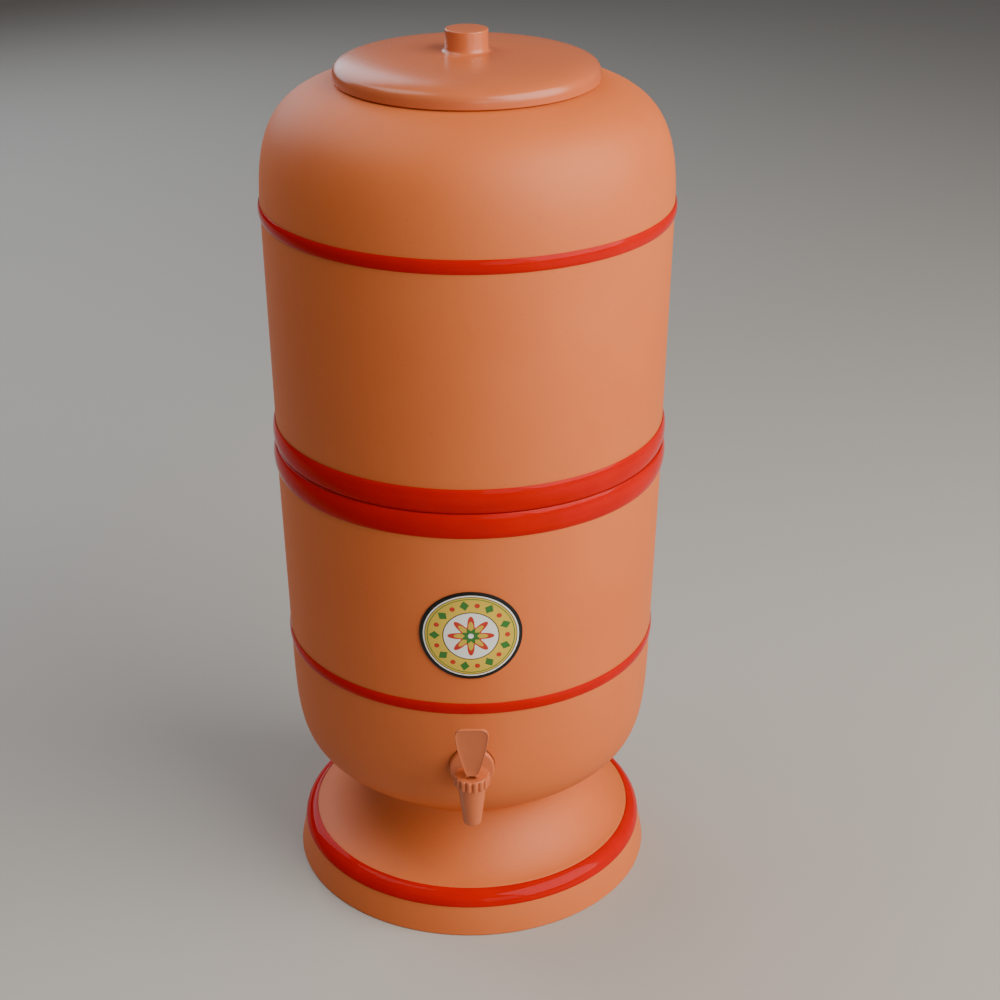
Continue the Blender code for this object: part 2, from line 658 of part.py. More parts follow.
def label_faces(form, inner, outer):
    for index, vert in enumerate(outer):
        after = (index + 1) % LABEL_SIDES
        if len(inner) == 1:
            form.faces.new((inner[0], vert, outer[after]))
        else:
            form.faces.new((inner[index], vert, outer[after], inner[after]))


def build_label():
    """A thin oval plate bent round the wall."""
    form = bmesh.new()
    edges = []
    for layer in (GAP, GAP + LABEL_THICKNESS):
        rings = [label_ring(form, share, layer) for share in LABEL_RING_SHARES]
        for inner, outer in zip(rings, rings[1:]):
            label_faces(form, inner, outer)
        edges.append(rings[-1])
    label_faces(form, *edges)
    solid("front_label", form, printed_label())


def build_candle():
    """Ceramic candle with a carbon core, on a plastic base whose stem passes the floor."""
    base_low = CANDLE_WASHER_TOP + GAP
    base_top = base_low + CANDLE_BASE
    plug_top = base_top + CANDLE_PLUG
    shell_low = base_top + GAP
    shell_top = shell_low + CANDLE_HEIGHT
    cavity = CANDLE_RADIUS - CANDLE_WALL
    plug = cavity - GAP
    stem_low = CANDLE_NUT_LOW - GAP - HUB_SOCKET
    outside = dome_cap(CANDLE_RADIUS, shell_top, CANDLE_DOME_STEPS) + [(CANDLE_RADIUS, shell_low)]
    inside = dome_cap(cavity, shell_top - CANDLE_WALL, CANDLE_CAVITY_STEPS) + [(cavity, shell_low)]
    turned("candle_shell", outside + inside[::-1], ROUND_SIDES, white_ceramic())
    core_low = plug_top + GAP
    core_top = core_low + CANDLE_HEIGHT - CORE_HEADROOM
    core = tube_outline(STEM_RADIUS, cavity - CORE_CLEARANCE, core_low, core_top)
    turned("candle_carbon_core", core, BORE_SIDES, carbon_block())
    base = [(STEM_BORE, plug_top), (plug, plug_top), (plug, base_top), (CANDLE_BASE_RADIUS, base_top)]
    base += [(CANDLE_BASE_RADIUS, base_low), (STEM_RADIUS, base_low), (STEM_RADIUS, stem_low)]
    base += [(STEM_BORE, stem_low)]
    turned("candle_base", base, ROUND_SIDES, white_plastic())


def build_candle_fastening():
    """Washers above and below the floor, and the nut that draws the candle down on them."""
    hole = STEM_RADIUS + GAP
    upper = tube_outline(hole, CANDLE_WASHER_RADIUS, UPPER_FLOOR_TOP + GAP, CANDLE_WASHER_TOP)
    turned("candle_washer", upper, WASHER_SIDES, silicone())
    under = tube_outline(hole, CANDLE_WASHER_RADIUS, UNDER_WASHER_LOW, UPPER_FLOOR_UNDERSIDE - GAP)
    turned("candle_under_washer", under, WASHER_SIDES, silicone())
    hex_nut("candle_nut", CANDLE_NUT_RADIUS, hole, CANDLE_NUT_LOW, UNDER_WASHER_LOW - GAP)


def float_heights():
    """Heights of the cage's plate, its nozzle, the stopper, the float and the cage's lower ring."""
    hub_top = CANDLE_NUT_LOW - GAP
    plate_top = hub_top - HUB_SOCKET - GAP
    nozzle_low = plate_top - CAGE_PLATE - NOZZLE_LENGTH
    stopper_top = nozzle_low - GAP - FLOAT_TRAVEL
    boss_top = stopper_top - STOPPER_THICKNESS - GAP + STOPPER_RECESS
    float_low = boss_top - FLOAT_BOSS - FLOAT_HEIGHT
    return hub_top, plate_top, nozzle_low, stopper_top, boss_top, float_low


def build_float_cage():
    """Hub on the candle's stem, a plate with the nozzle under it, and a ring hung on posts."""
    hub_top, plate_top, nozzle_low, _, _, float_low = float_heights()
    plate_low = plate_top - CAGE_PLATE
    ring_top = float_low - GAP
    ring_low = ring_top - CAGE_PLATE
    socket = STEM_RADIUS + GAP
    outline = [(socket, hub_top), (HUB_RADIUS, hub_top), (HUB_RADIUS, plate_top), (CAGE_RADIUS, plate_top)]
    outline += [(CAGE_RADIUS, plate_low), (NOZZLE_RADIUS, plate_low), (NOZZLE_RADIUS, nozzle_low)]
    outline += [(STEM_BORE, nozzle_low), (STEM_BORE, plate_top), (socket, plate_top)]
    cage = turned("float_valve_body", outline, ROUND_SIDES, white_plastic())
    ring = tube_outline(FLOAT_RADIUS - CAGE_LEDGE, CAGE_RADIUS, ring_low, ring_top)
    join(cage, turned("cage_ring_form", ring, ROUND_SIDES, white_plastic()))
    post = rod_outline(CAGE_POST_RADIUS, ring_low + CAGE_PLATE / 2, plate_low + CAGE_PLATE / 2)
    for index in range(CAGE_POSTS):
        angle = 2 * pi * (index + 0.5) / CAGE_POSTS
        place = (CAGE_POST_CIRCLE * cos(angle), AXIS_SETBACK + CAGE_POST_CIRCLE * sin(angle), 0.0)
        join(cage, turned("cage_post_form_%d" % index, post, POST_SIDES, white_plastic(), place))


def build_float():
    """Float with the soft stopper in its boss, under the nozzle."""
    _, _, _, stopper_top, boss_top, float_low = float_heights()
    float_top = boss_top - FLOAT_BOSS
    recess = STOPPER_RADIUS + GAP
    recess_low = boss_top - STOPPER_RECESS
    outline = [(0.0, recess_low), (recess, recess_low), (recess, boss_top), (FLOAT_BOSS_RADIUS, boss_top)]
    outline += [(FLOAT_BOSS_RADIUS, float_top), (FLOAT_RADIUS - FLOAT_EDGE, float_top)]
    outline += [(FLOAT_RADIUS, float_top - FLOAT_EDGE), (FLOAT_RADIUS, float_low + FLOAT_EDGE)]
    outline += [(FLOAT_RADIUS - FLOAT_EDGE / 2, float_low), (0.0, float_low)]
    turned("float", outline, ROUND_SIDES, white_plastic())
    stopper = rod_outline(STOPPER_RADIUS, recess_low + GAP, stopper_top)
    turned("float_stopper", stopper, BORE_SIDES, silicone())


def build_tap_body():
    """Shank with its flange, and the barrel with its valve chamber and conical spout."""
    _, _, flange_back, nut_front = tap_stack()
    shank_end = nut_front - LOCK_NUT - SHANK_END
    flange_front = flange_back + FLANGE_THICKNESS
    plastic = clay_coloured_plastic()
    barrel = [(0.0, BARREL_NECK_TOP), (BARREL_NECK_RADIUS, BARREL_NECK_TOP)]
    barrel += [(BARREL_NECK_RADIUS, BARREL_SHOULDER), (BARREL_RADIUS, BARREL_SHOULDER)]
    barrel += [(SPOUT_RADIUS, SPOUT_EDGE - SPOUT_DROP), (SPOUT_RADIUS - SPOUT_EDGE / 2, -SPOUT_DROP)]
    barrel += [(0.0, -SPOUT_DROP)]
    body = turned("tap_body", barrel, ROUND_SIDES, plastic, VALVE_PLACE)
    shank = [(0.0, TAP_REACH), (SHANK_NECK_RADIUS, TAP_REACH), (SHANK_NECK_RADIUS, flange_front)]
    shank += [(FLANGE_RADIUS - FLANGE_EDGE, flange_front), (FLANGE_RADIUS, flange_front - FLANGE_EDGE)]
    shank += [(FLANGE_RADIUS, flange_back), (SHANK_RADIUS, flange_back)]
    shank += [(SHANK_RADIUS, shank_end), (0.0, shank_end)]
    join(body, turned("tap_shank_form", shank, ROUND_SIDES, plastic, SHANK_PLACE, FACING_FRONT))
    chamber = [(0.0, BARREL_NECK_TOP + OVERRUN), (CHAMBER_RADIUS, BARREL_NECK_TOP + OVERRUN)]
    chamber += [(CHAMBER_RADIUS, -SEAT_DROP), (SPOUT_BORE, -SEAT_DROP)]
    chamber += [(SPOUT_BORE, -SPOUT_DROP - OVERRUN), (0.0, -SPOUT_DROP - OVERRUN)]
    cut(body, turned("tap_chamber_cutter", chamber, BORE_SIDES, plastic, VALVE_PLACE))
    bore = rod_outline(SHANK_BORE, shank_end - OVERRUN, TAP_REACH)
    cut(body, turned("tap_bore_cutter", bore, BORE_SIDES, plastic, SHANK_PLACE, FACING_FRONT))


def build_tap_fastening():
    """Washers and lock nut that clamp the shank in the wall."""
    outer_seat, inner_seat, flange_back, nut_front = tap_stack()
    hole = SHANK_RADIUS + GAP
    outer = tube_outline(hole, OUTER_WASHER_RADIUS, outer_seat + GAP, flange_back - GAP)
    turned("tap_outer_washer", outer, WASHER_SIDES, silicone(), SHANK_PLACE, FACING_FRONT)
    inner = tube_outline(hole, INNER_WASHER_RADIUS, nut_front + GAP, inner_seat - GAP)
    turned("tap_inner_washer", inner, WASHER_SIDES, silicone(), SHANK_PLACE, FACING_FRONT)
    nut_back = nut_front - LOCK_NUT
    hex_nut("tap_lock_nut", LOCK_NUT_RADIUS, hole, nut_back, nut_front, SHANK_PLACE, FACING_FRONT)


def build_bonnet():
    """Screw cap of the barrel: a flat top with finger ribs down its skirt."""
    stem_hole = VALVE_STEM_RADIUS + GAP
    skirt_inside = BARREL_NECK_RADIUS + GAP
    skirt_low = BARREL_SHOULDER + GAP
    disc_low = BONNET_TOP - BONNET_DISC
    crest = BONNET_SKIRT_RADIUS + BONNET_RIB
    rings = [(stem_hole, BONNET_TOP, 0.0), (BONNET_RADIUS - BONNET_EDGE, BONNET_TOP, 0.0)]
    rings += [(BONNET_RADIUS, BONNET_TOP - BONNET_EDGE, 0.0), (BONNET_RADIUS, disc_low, 0.0)]
    rings += [(crest, disc_low, BONNET_RIB), (crest, skirt_low, BONNET_RIB)]
    rings += [(skirt_inside, skirt_low, 0.0), (skirt_inside, disc_low, 0.0), (stem_hole, disc_low, 0.0)]
    count = POINTS_PER_RIB * BONNET_RIBS
    form = bmesh.new()
    made = []
    for radius, height, groove in rings:
        ring = []
        for index in range(count):
            angle = 2 * pi * index / count
            reach = radius - groove if index % POINTS_PER_RIB == 0 else radius
            ring.append(form.verts.new((reach * cos(angle), reach * sin(angle), height)))
        made.append(ring)
    for outer, inner in zip(made, made[1:] + made[:1]):
        for index in range(count):
            after = (index + 1) % count
            form.faces.new((outer[index], outer[after], inner[after], inner[index]))
    solid("tap_bonnet", form, clay_coloured_plastic(), VALVE_PLACE)


def pin_outline(radius, reach):
    return rod_outline(radius, -reach, reach)


def pin_hole(name):
    """Cutter for the pin's hole, right through the lever."""
    outline = pin_outline(PIN_RADIUS + GAP, LEVER_WIDTH / 2 + OVERRUN)
    return turned(name, outline, PIN_SIDES, stainless(), PIN_PLACE, FACING_SIDE)


def build_pin():
    outline = pin_outline(PIN_RADIUS, LEVER_WIDTH / 2 - GAP)
    turned("tap_lever_pin", outline, PIN_SIDES, stainless(), PIN_PLACE, FACING_SIDE)


def build_valve_stem():
    """Stem with a collar for the spring and a flat tongue that stays between the lever's lugs."""
    tip_low = COLLAR_LOW - VALVE_STEM_TIP
    round_top = BONNET_TOP - STEM_TRAVEL
    outline = [(0.0, round_top), (VALVE_STEM_RADIUS, round_top)]
    outline += [(VALVE_STEM_RADIUS, COLLAR_TOP), (VALVE_COLLAR_RADIUS, COLLAR_TOP)]
    outline += [(VALVE_COLLAR_RADIUS, COLLAR_LOW), (VALVE_STEM_TIP_RADIUS, COLLAR_LOW)]
    outline += [(VALVE_STEM_TIP_RADIUS, tip_low), (0.0, tip_low)]
    stem = turned("tap_stem", outline, BORE_SIDES, white_plastic(), VALVE_PLACE)
    tongue_low = round_top - STEM_TRAVEL / 2
    half_depth = TONGUE_DEPTH / 2
    tongue = [(half_depth, tongue_low)]
    for index in range(TONGUE_ARC_STEPS + 1):
        angle = pi * index / TONGUE_ARC_STEPS
        tongue.append((half_depth * cos(angle), PIN_HEIGHT + half_depth * sin(angle)))
    tongue.append((-half_depth, tongue_low))
    join(stem, extruded("tap_tongue_form", tongue, TONGUE_WIDTH / 2, white_plastic(), VALVE_PLACE))
    cut(stem, pin_hole("tap_stem_pin_cutter"))


def build_seat_cup():
    """Soft cup on the stem's tip that closes the spout's bore."""
    socket = VALVE_STEM_TIP_RADIUS + GAP
    socket_low = COLLAR_LOW - VALVE_STEM_TIP - GAP
    outline = [(socket, CUP_TOP), (CUP_RADIUS - CUP_LIP, CUP_TOP), (CUP_RADIUS, CUP_LOW + CUP_LIP)]
    outline += [(CUP_RADIUS, CUP_LOW), (0.0, CUP_LOW), (0.0, socket_low), (socket, socket_low)]
    turned("tap_seat_cup", outline, BORE_SIDES, silicone(), VALVE_PLACE)


def build_spring():
    """Coil spring between the stem's collar and the bonnet, which holds the cup on its seat."""
    low = COLLAR_TOP + GAP + SPRING_WIRE
    high = BONNET_TOP - BONNET_DISC - GAP - SPRING_WIRE
    count = SPRING_TURNS * SPRING_TURN_POINTS
    curve = bpy.data.curves.new("tap_spring", "CURVE")
    curve.dimensions = "3D"
    curve.bevel_depth = SPRING_WIRE
    curve.bevel_resolution = 1
    curve.use_fill_caps = True
    spline = curve.splines.new("POLY")
    spline.points.add(count)
    for index, point in enumerate(spline.points):
        angle = 2 * pi * index / SPRING_TURN_POINTS
        height = low + (high - low) * index / count
        point.co = (SPRING_RADIUS * cos(angle), SPRING_RADIUS * sin(angle), height, 1.0)
    finish(bpy.data.objects.new("tap_spring", curve), stainless(), VALVE_PLACE)


def lever_foot_outline():
    """Side of the lever's lugs as (front, up) from the pin. The heel is a cam that lifts the pin steadily."""
    rest = PIN_LIFT - GAP
    outline = []
    for index in range(CAM_STEPS + 1):
        angle = LEVER_SWING * index / CAM_STEPS
        reach = rest + STEM_LIFT_PER_RADIAN * angle
        front = reach * sin(angle) + STEM_LIFT_PER_RADIAN * cos(angle)
        up = STEM_LIFT_PER_RADIAN * sin(angle) - reach * cos(angle)
        outline.append((front, up))
    web = PADDLE_OFFSET - PADDLE_THICKNESS / 2
    outline += [(web, CROTCH_HEIGHT), (PADDLE_OFFSET, 2 * PIN_LIFT), (0.0, CROTCH_HEIGHT + PADDLE_THICKNESS)]
    for index in range(LUG_ARC_STEPS + 1):
        angle = pi * index / LUG_ARC_STEPS
        outline.append((-rest * sin(angle), rest * cos(angle)))
    return outline


def build_paddle():
    """Spoon-shaped blade of the lever, a little dished in front and leaning out."""
    form = bmesh.new()
    rows = []
    for height_share, width_share in zip(PADDLE_HEIGHT_SHARES, PADDLE_WIDTH_SHARES):
        rise = height_share * (PADDLE_HEIGHT + PADDLE_FOOT)
        front = PADDLE_OFFSET + rise * tan(PADDLE_LEAN)
        row = []
        for across, depth in PADDLE_FRONT_SHARES + PADDLE_BACK_SHARES:
            dish = PADDLE_DISH if across == 0.0 and 0.0 < height_share < 1.0 else 0.0
            y = -(front + depth * PADDLE_THICKNESS - dish)
            row.append(form.verts.new((across * width_share * PADDLE_WIDTH / 2, y, rise - PADDLE_FOOT)))
        rows.append(row)
    count = len(rows[0])
    for lower, upper in zip(rows, rows[1:]):
        for index in range(count):
            after = (index + 1) % count
            form.faces.new((lower[index], lower[after], upper[after], upper[index]))
    form.faces.new(rows[0])
    form.faces.new(rows[-1])
    return form


def build_lever():
    """Paddle and forked foot, pinned across the stem's tongue."""
    plastic = clay_coloured_plastic()
    lever = solid("tap_lever", build_paddle(), plastic, PIN_PLACE)
    join(lever, extruded("lever_foot_form", lever_foot_outline(), LEVER_WIDTH / 2, plastic, PIN_PLACE))
    slot = TONGUE_WIDTH / 2 + GAP
    reach = PADDLE_OFFSET + OVERRUN
    web_back = PADDLE_OFFSET - PADDLE_THICKNESS
    web_low = GAP - PADDLE_FOOT
    outline = [(-reach, -reach), (reach, -reach), (reach, web_low), (web_back, web_low)]
    outline += [(web_back, CROTCH_HEIGHT), (PIN_RADIUS, CROTCH_HEIGHT), (PIN_RADIUS, reach), (-reach, reach)]
    cut(lever, extruded("lever_slot_cutter", outline, slot, plastic, PIN_PLACE))
    cut(lever, pin_hole("lever_pin_cutter"))


def build():
    clear_scene()
    build_lower_reservoir()
    build_upper_reservoir()
    build_lid()
    build_bands()
    build_label()
    build_candle()
    build_candle_fastening()
    build_float_cage()
    build_float()
    build_tap_body()
    build_tap_fastening()
    build_bonnet()
    build_valve_stem()
    build_seat_cup()
    build_pin()
    build_spring()
    build_lever()


build()
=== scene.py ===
"""Looks of a two-chamber clay water filter: fine meshes, finishes, light and camera.

Metres, +Z up, in the frame of the packed model, whose bodies carry every piece made here.
An outline is a closed list of corners: (radius, height) or (radius, height, rounding).
"""

import json
from functools import lru_cache, partial
from math import cos, hypot, pi, radians, sin, tan

import bmesh
import bpy
from bpy.props import FloatProperty, FloatVectorProperty, IntProperty, PointerProperty
from mathutils import Matrix, Vector


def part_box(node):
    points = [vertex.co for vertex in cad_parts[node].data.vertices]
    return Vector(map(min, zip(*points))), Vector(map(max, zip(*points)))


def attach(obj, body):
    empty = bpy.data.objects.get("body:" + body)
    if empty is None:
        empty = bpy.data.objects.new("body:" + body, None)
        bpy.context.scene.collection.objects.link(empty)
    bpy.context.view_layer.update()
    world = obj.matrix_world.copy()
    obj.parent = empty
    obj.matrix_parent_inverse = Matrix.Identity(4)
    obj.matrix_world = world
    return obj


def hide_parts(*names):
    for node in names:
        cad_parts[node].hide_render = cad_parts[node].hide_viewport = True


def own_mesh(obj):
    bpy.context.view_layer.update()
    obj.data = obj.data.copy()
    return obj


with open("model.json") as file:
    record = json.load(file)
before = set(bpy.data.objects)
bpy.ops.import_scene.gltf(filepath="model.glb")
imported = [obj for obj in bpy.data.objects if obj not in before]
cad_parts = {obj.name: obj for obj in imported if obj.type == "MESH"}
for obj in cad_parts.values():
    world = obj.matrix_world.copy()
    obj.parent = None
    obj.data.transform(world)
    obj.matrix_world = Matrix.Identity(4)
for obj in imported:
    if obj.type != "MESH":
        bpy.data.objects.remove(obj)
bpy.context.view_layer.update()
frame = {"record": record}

bl_info = {
    "name": "Clay water filter",
    "version": (1, 0, 0),
    "blender": (4, 5, 0),
    "location": "View3D > Sidebar > Filter",
    "description": "Fine pieces, finishes and a stage for a clay water filter",
    "category": "Add Mesh",
}

RECORD = frame["record"]
SLOTS = {row["node"]: row["material_slot"] for row in RECORD["subparts"]}
BODIES = {node: body for body, nodes in RECORD["behaviour"]["bodies"].items() for node in nodes}

# Fits that every piece shares
GAP = 0.0003
WELD = 0.000001
OVERRUN = 0.004
ON_THREAD = 0.0001
SWEEP_RADIUS = 0.1
FULL_TURN = 2 * pi

# Roundings of small edges, from the sharpest
HAIR, CRISP, FINE, SLIM, SMALL, SOFT, BLUNT = 0.0002, 0.0003, 0.0004, 0.0005, 0.0006, 0.0008, 0.0010
RIB_EDGE, CROWN_EDGE, SEAT_EDGE, HOLLOW_EDGE, FLOOR_EDGE = 0.0012, 0.0015, 0.002, 0.003, 0.006
SHARP_ANGLE = radians(40)

# Fineness of curves and of small round forms
LONG_CURVE, FOOT_CURVE, INSIDE_CURVE, HOLLOW_CURVE, PADDLE_CURVE = 40, 30, 24, 20, 12
PLATE_SIDES, HOLE_SIDES, BORE_SIDES, PIN_SIDES, POST_SIDES, RIB_SIDES, WIRE_SIDES = 96, 64, 48, 32, 24, 16, 12
LABEL_SIDES, HEEL_STEPS, THREAD_ROWS, COIL_STEPS = 128, 12, 6, 36


@lru_cache(maxsize=None)
def box(node):
    """Low and high corner of a node of the packed model."""
    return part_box(node)


def centre(node):
    low, high = box(node)
    return (low + high) / 2


def span(node):
    """Lowest and highest point of a node that is turned about an upright axis, and its radius."""
    low, high = box(node)
    return low.z, high.z, (high.x - low.x) / 2


VESSEL_AXIS = Vector((0.0, centre("upper_reservoir").y, 0.0))
VALVE_AXIS = Vector((0.0, centre("tap_bonnet").y, 0.0))
SHANK_AXIS = Vector((0.0, VESSEL_AXIS.y, centre("tap_outer_washer").z))
PIN_CENTRE = centre("tap_lever_pin")
ORIGIN = Vector((0.0, 0.0, 0.0))
UPRIGHT = Matrix.Identity(4)
TO_FRONT = Matrix.Rotation(radians(90), 4, "X")
TO_SIDE = Matrix.Rotation(radians(90), 4, "Y")
JOINT, JOINT_RADIUS = span("lower_reservoir")[1:]
DOME_TOP, DOME_RADIUS = span("upper_reservoir")[1:]


def along_shank(node):
    """Rear and front end of a node on the shank, as distances before the vessels' axis."""
    low, high = box(node)
    return VESSEL_AXIS.y - high.y, VESSEL_AXIS.y - low.y


# ---- Sizes and colours that a user may change ----


KINDS = {
    "LENGTH": {"unit": "LENGTH"},
    "POWER": {"unit": "POWER"},
    "ANGLE": {"subtype": "ANGLE"},
    "SHARE": {"subtype": "FACTOR", "min": 0.0, "max": 1.0},
    "NUMBER": {},
}


def settings(**rows):
    """A PropertyGroup's properties. A row is a default, a description and a kind other than length."""
    made = {}
    for name, (default, note, *kind) in rows.items():
        facts = {"name": name.replace("_", " ").capitalize(), "description": note, "default": default}
        if isinstance(default, int):
            made[name] = IntProperty(min=1, **facts)
        elif isinstance(default, tuple):
            made[name] = FloatVectorProperty(min=0.0, max=1.0, subtype="COLOR", **facts)
        else:
            made[name] = FloatProperty(precision=4, **KINDS[kind[0] if kind else "LENGTH"], **facts)
    return made


class VesselSizes(bpy.types.PropertyGroup):
    """Shape of the two clay vessels and their foot."""

    __annotations__ = settings(
        sides=(192, "Facets round the vessels, the lid and the bands"),
        wall=(0.0075, "Thickness of the clay wall"),
        lip_edge=(0.0012, "Rounding of the lips"),
        joint_edge=(0.0005, "Rounding of both vessels at their joint"),
        foot_radius=(0.1104, "Radius of the foot on the ground"),
        foot_rim_radius=(0.1068, "Radius where the foot's rim ends"),
        foot_rim_height=(0.0184, "Height where the foot's rim ends"),
        foot_top_radius=(0.0993, "Radius where the foot's top begins"),
        foot_top_height=(0.0272, "Height where the foot's top begins"),
        foot_top_slope=(radians(7), "Slope of the foot's top at its edge", "ANGLE"),
        foot_sweep=(0.017, "Pull of the foot's top curve"),
        foot_wall=(0.0085, "Thickness of the foot's wall"),
        foot_edge=(0.0012, "Rounding of the foot's lower edge"),
        neck_radius=(0.0695, "Radius of the neck under the bowl"),
        neck_height=(0.0628, "Height of the neck"),
        neck_slope=(radians(36), "Slope of the bowl at the neck", "ANGLE"),
        neck_fillet=(0.0085, "Pull of the curve under the neck"),
        bowl_sweep=(0.044, "Pull of the bowl's curve at the neck"),
        bowl_drop=(0.066, "Pull of the bowl's curve at the waist"),
        waist_radius=(0.1100, "Radius where the bowl meets the wall"),
        waist_height=(0.1500, "Height where the bowl meets the wall"),
        floor_height=(0.0617, "Height of the bowl's floor inside"),
        floor_thickness=(0.0095, "Thickness of the bowl's floor"),
        floor_radius=(0.036, "Radius of the bowl's flat floor"),
        dome_height=(0.4283, "Height where the dome begins"),
        dome_rise=(0.0445, "Pull of the dome at the wall"),
        dome_sweep=(0.034, "Pull of the dome at the mouth"),
        dome_slope=(radians(11), "Slope of the dome at the mouth", "ANGLE"),
        mouth_radius=(0.058, "Radius of the upper vessel's mouth"),
        mouth_rim=(0.012, "Width of the rim that carries the lid"),
        joint_step=(0.0006, "Set-back of the upper vessel at the joint"),
        spigot_depth=(0.009, "Reach of the upper vessel into the lower"),
        spigot_clearance=(0.0012, "Play round the spigot"),
        upper_floor=(0.010, "Thickness of the upper vessel's floor"),
        inner_fillet=(0.012, "Rounding between upper floor and wall"),
        stem_hole=(0.0060, "Radius of the hole for the candle's stem"),
    )


class BandSizes(bpy.types.PropertyGroup):
    """Shape of the red relief cords."""

    __annotations__ = settings(
        bulge=(0.0013, "Relief of the shoulder band"),
        joint_bulge=(0.0018, "Relief of the bands at the joint"),
        waist_bulge=(0.0010, "Relief of the waist band"),
        foot_bulge=(0.0024, "Relief of the foot band"),
        roundness=(0.8, "0.5 for an ellipse, 1 for a flat arc", "SHARE"),
        seam=(0.0002, "How near two cords come to their joint"),
        steps=(20, "Steps of a cord's rounded section"),
    )


class LidSizes(bpy.types.PropertyGroup):
    """Shape of the lid and its knob."""

    __annotations__ = settings(
        rim=(0.0065, "Height of the lid's rim"),
        overhang=(0.0009, "Reach of the rim past the packed model's lid"),
        edge=(0.0022, "Width of the lid's rounded upper edge"),
        fall=(radians(34), "Slope of the crown at its edge", "ANGLE"),
        fall_reach=(0.0060, "Pull of the crown's curve at its edge"),
        flat=(0.0270, "Pull of the crown's curve at the knob"),
        wall=(0.006, "Thickness of the lid's crown"),
        knob_radius=(0.0118, "Radius of the knob"),
        knob_height=(0.0120, "Height of the knob over the crown"),
        knob_edge=(0.0008, "Rounding of the knob's top"),
        knob_fillet=(0.0026, "Rounding at the knob's foot"),
        skirt_clearance=(0.0015, "Play between skirt and mouth"),
        skirt_wall=(0.005, "Thickness of the skirt"),
    )


class LabelSizes(bpy.types.PropertyGroup):
    """Shape and print of the front label."""

    __annotations__ = settings(
        width=(0.058, "Width round the wall"),
        height=(0.056, "Height of the label"),
        thickness=(0.0006, "Thickness of the film"),
        edge=(0.0003, "Rounding of the film's edge"),
        motifs=(9, "Pairs of a lozenge and a dot in the ring"),
        petals=(8, "Petals of the rosette in the middle"),
    )


class TapSizes(bpy.types.PropertyGroup):
    """Shape of the tap's moulded pieces."""

    __annotations__ = settings(
        sides=(96, "Facets round the barrel, flange and bonnet"),
        shank_radius=(0.0065, "Radius of the threaded shank"),
        shank_bore=(0.0028, "Radius of the shank's bore"),
        shank_neck=(0.0047, "Radius between flange and barrel"),
        shank_end=(0.0040, "Length of the shank behind its nut"),
        thread_pitch=(0.0016, "Rise of a thread for each turn"),
        thread_depth=(0.0006, "Depth of a thread"),
        flange_radius=(0.0130, "Radius of the flange"),
        flange_thickness=(0.0030, "Thickness of the flange"),
        flange_edge=(0.0013, "Rounding of the flange's front edge"),
        chamber_radius=(0.0056, "Radius of the valve's chamber"),
        neck_radius=(0.0069, "Radius of the barrel inside the bonnet"),
        barrel_radius=(0.0081, "Radius of the barrel's shoulder"),
        barrel_shoulder=(0.0052, "Height of the shoulder over the shank's axis"),
        barrel_neck=(0.0046, "Height of the barrel's neck"),
        seat_drop=(0.0065, "Depth of the seat under the shank's axis"),
        spout_drop=(0.0200, "Depth of the spout's end under that axis"),
        spout_radius=(0.0051, "Radius of the spout's end"),
        spout_bore=(0.0034, "Radius of the spout's bore"),
        spout_edge=(0.0014, "Rounding of the spout's end"),
        bonnet_disc=(0.0020, "Thickness of the bonnet's disc"),
        bonnet_edge=(0.0005, "Rounding of the bonnet's disc"),
        bonnet_skirt=(0.0089, "Radius of the skirt between its ribs"),
        bonnet_inset=(0.0009, "Set-back of the disc behind the ribs"),
        bonnet_ribs=(16, "Finger ribs round the bonnet"),
        bonnet_rib=(0.00155, "Radius of a finger rib"),
    )


class LeverSizes(bpy.types.PropertyGroup):
    """Shape of the tap's lever."""

    __annotations__ = settings(
        height=(0.0344, "Height of the paddle over the pin"),
        foot=(0.0008, "Reach of the paddle below the pin"),
        width=(0.0186, "Width of the paddle"),
        thickness=(0.0024, "Thickness of the paddle"),
        lean=(radians(12), "How far the paddle leans forward", "ANGLE"),
        offset=(0.0070, "Reach of the paddle's front before the pin"),
        rim=(0.0007, "Width of the raised rim round the face"),
        dish=(0.0003, "Depth of the face behind its rim"),
        hollow=(0.0003, "Further depth in the middle of the face"),
        swing=(radians(45), "How far the lever tips", "ANGLE"),
        travel=(0.0025, "How far the lever lifts the stem"),
        pin_lift=(0.0034, "Height of the pin over the bonnet"),
        pin_radius=(0.0009, "Radius of the pin"),
        tongue_width=(0.0032, "Width of the stem's tongue"),
        tongue_depth=(0.0030, "Depth of the stem's tongue"),
        lug=(0.0018, "Thickness of a cam lug"),
        crotch=(0.0026, "Height of the fork's crotch over the pin"),
        edge=(0.0003, "Rounding of the lugs"),
    )


class ValveSizes(bpy.types.PropertyGroup):
    """Shape of the tap's stem, seat cup and spring."""

    __annotations__ = settings(
        collar_radius=(0.0044, "Radius of the collar under the spring"),
        collar=(0.0010, "Thickness of the collar"),
        tip_radius=(0.0016, "Radius of the stem's tip inside the cup"),
        cup_taper=(0.0012, "Width and height of the cup's taper"),
        wire_radius=(0.0004, "Radius of the spring's wire"),
        coils=(5, "Turns of the spring"),
        sides=(48, "Facets round the stem and the cup"),
    )


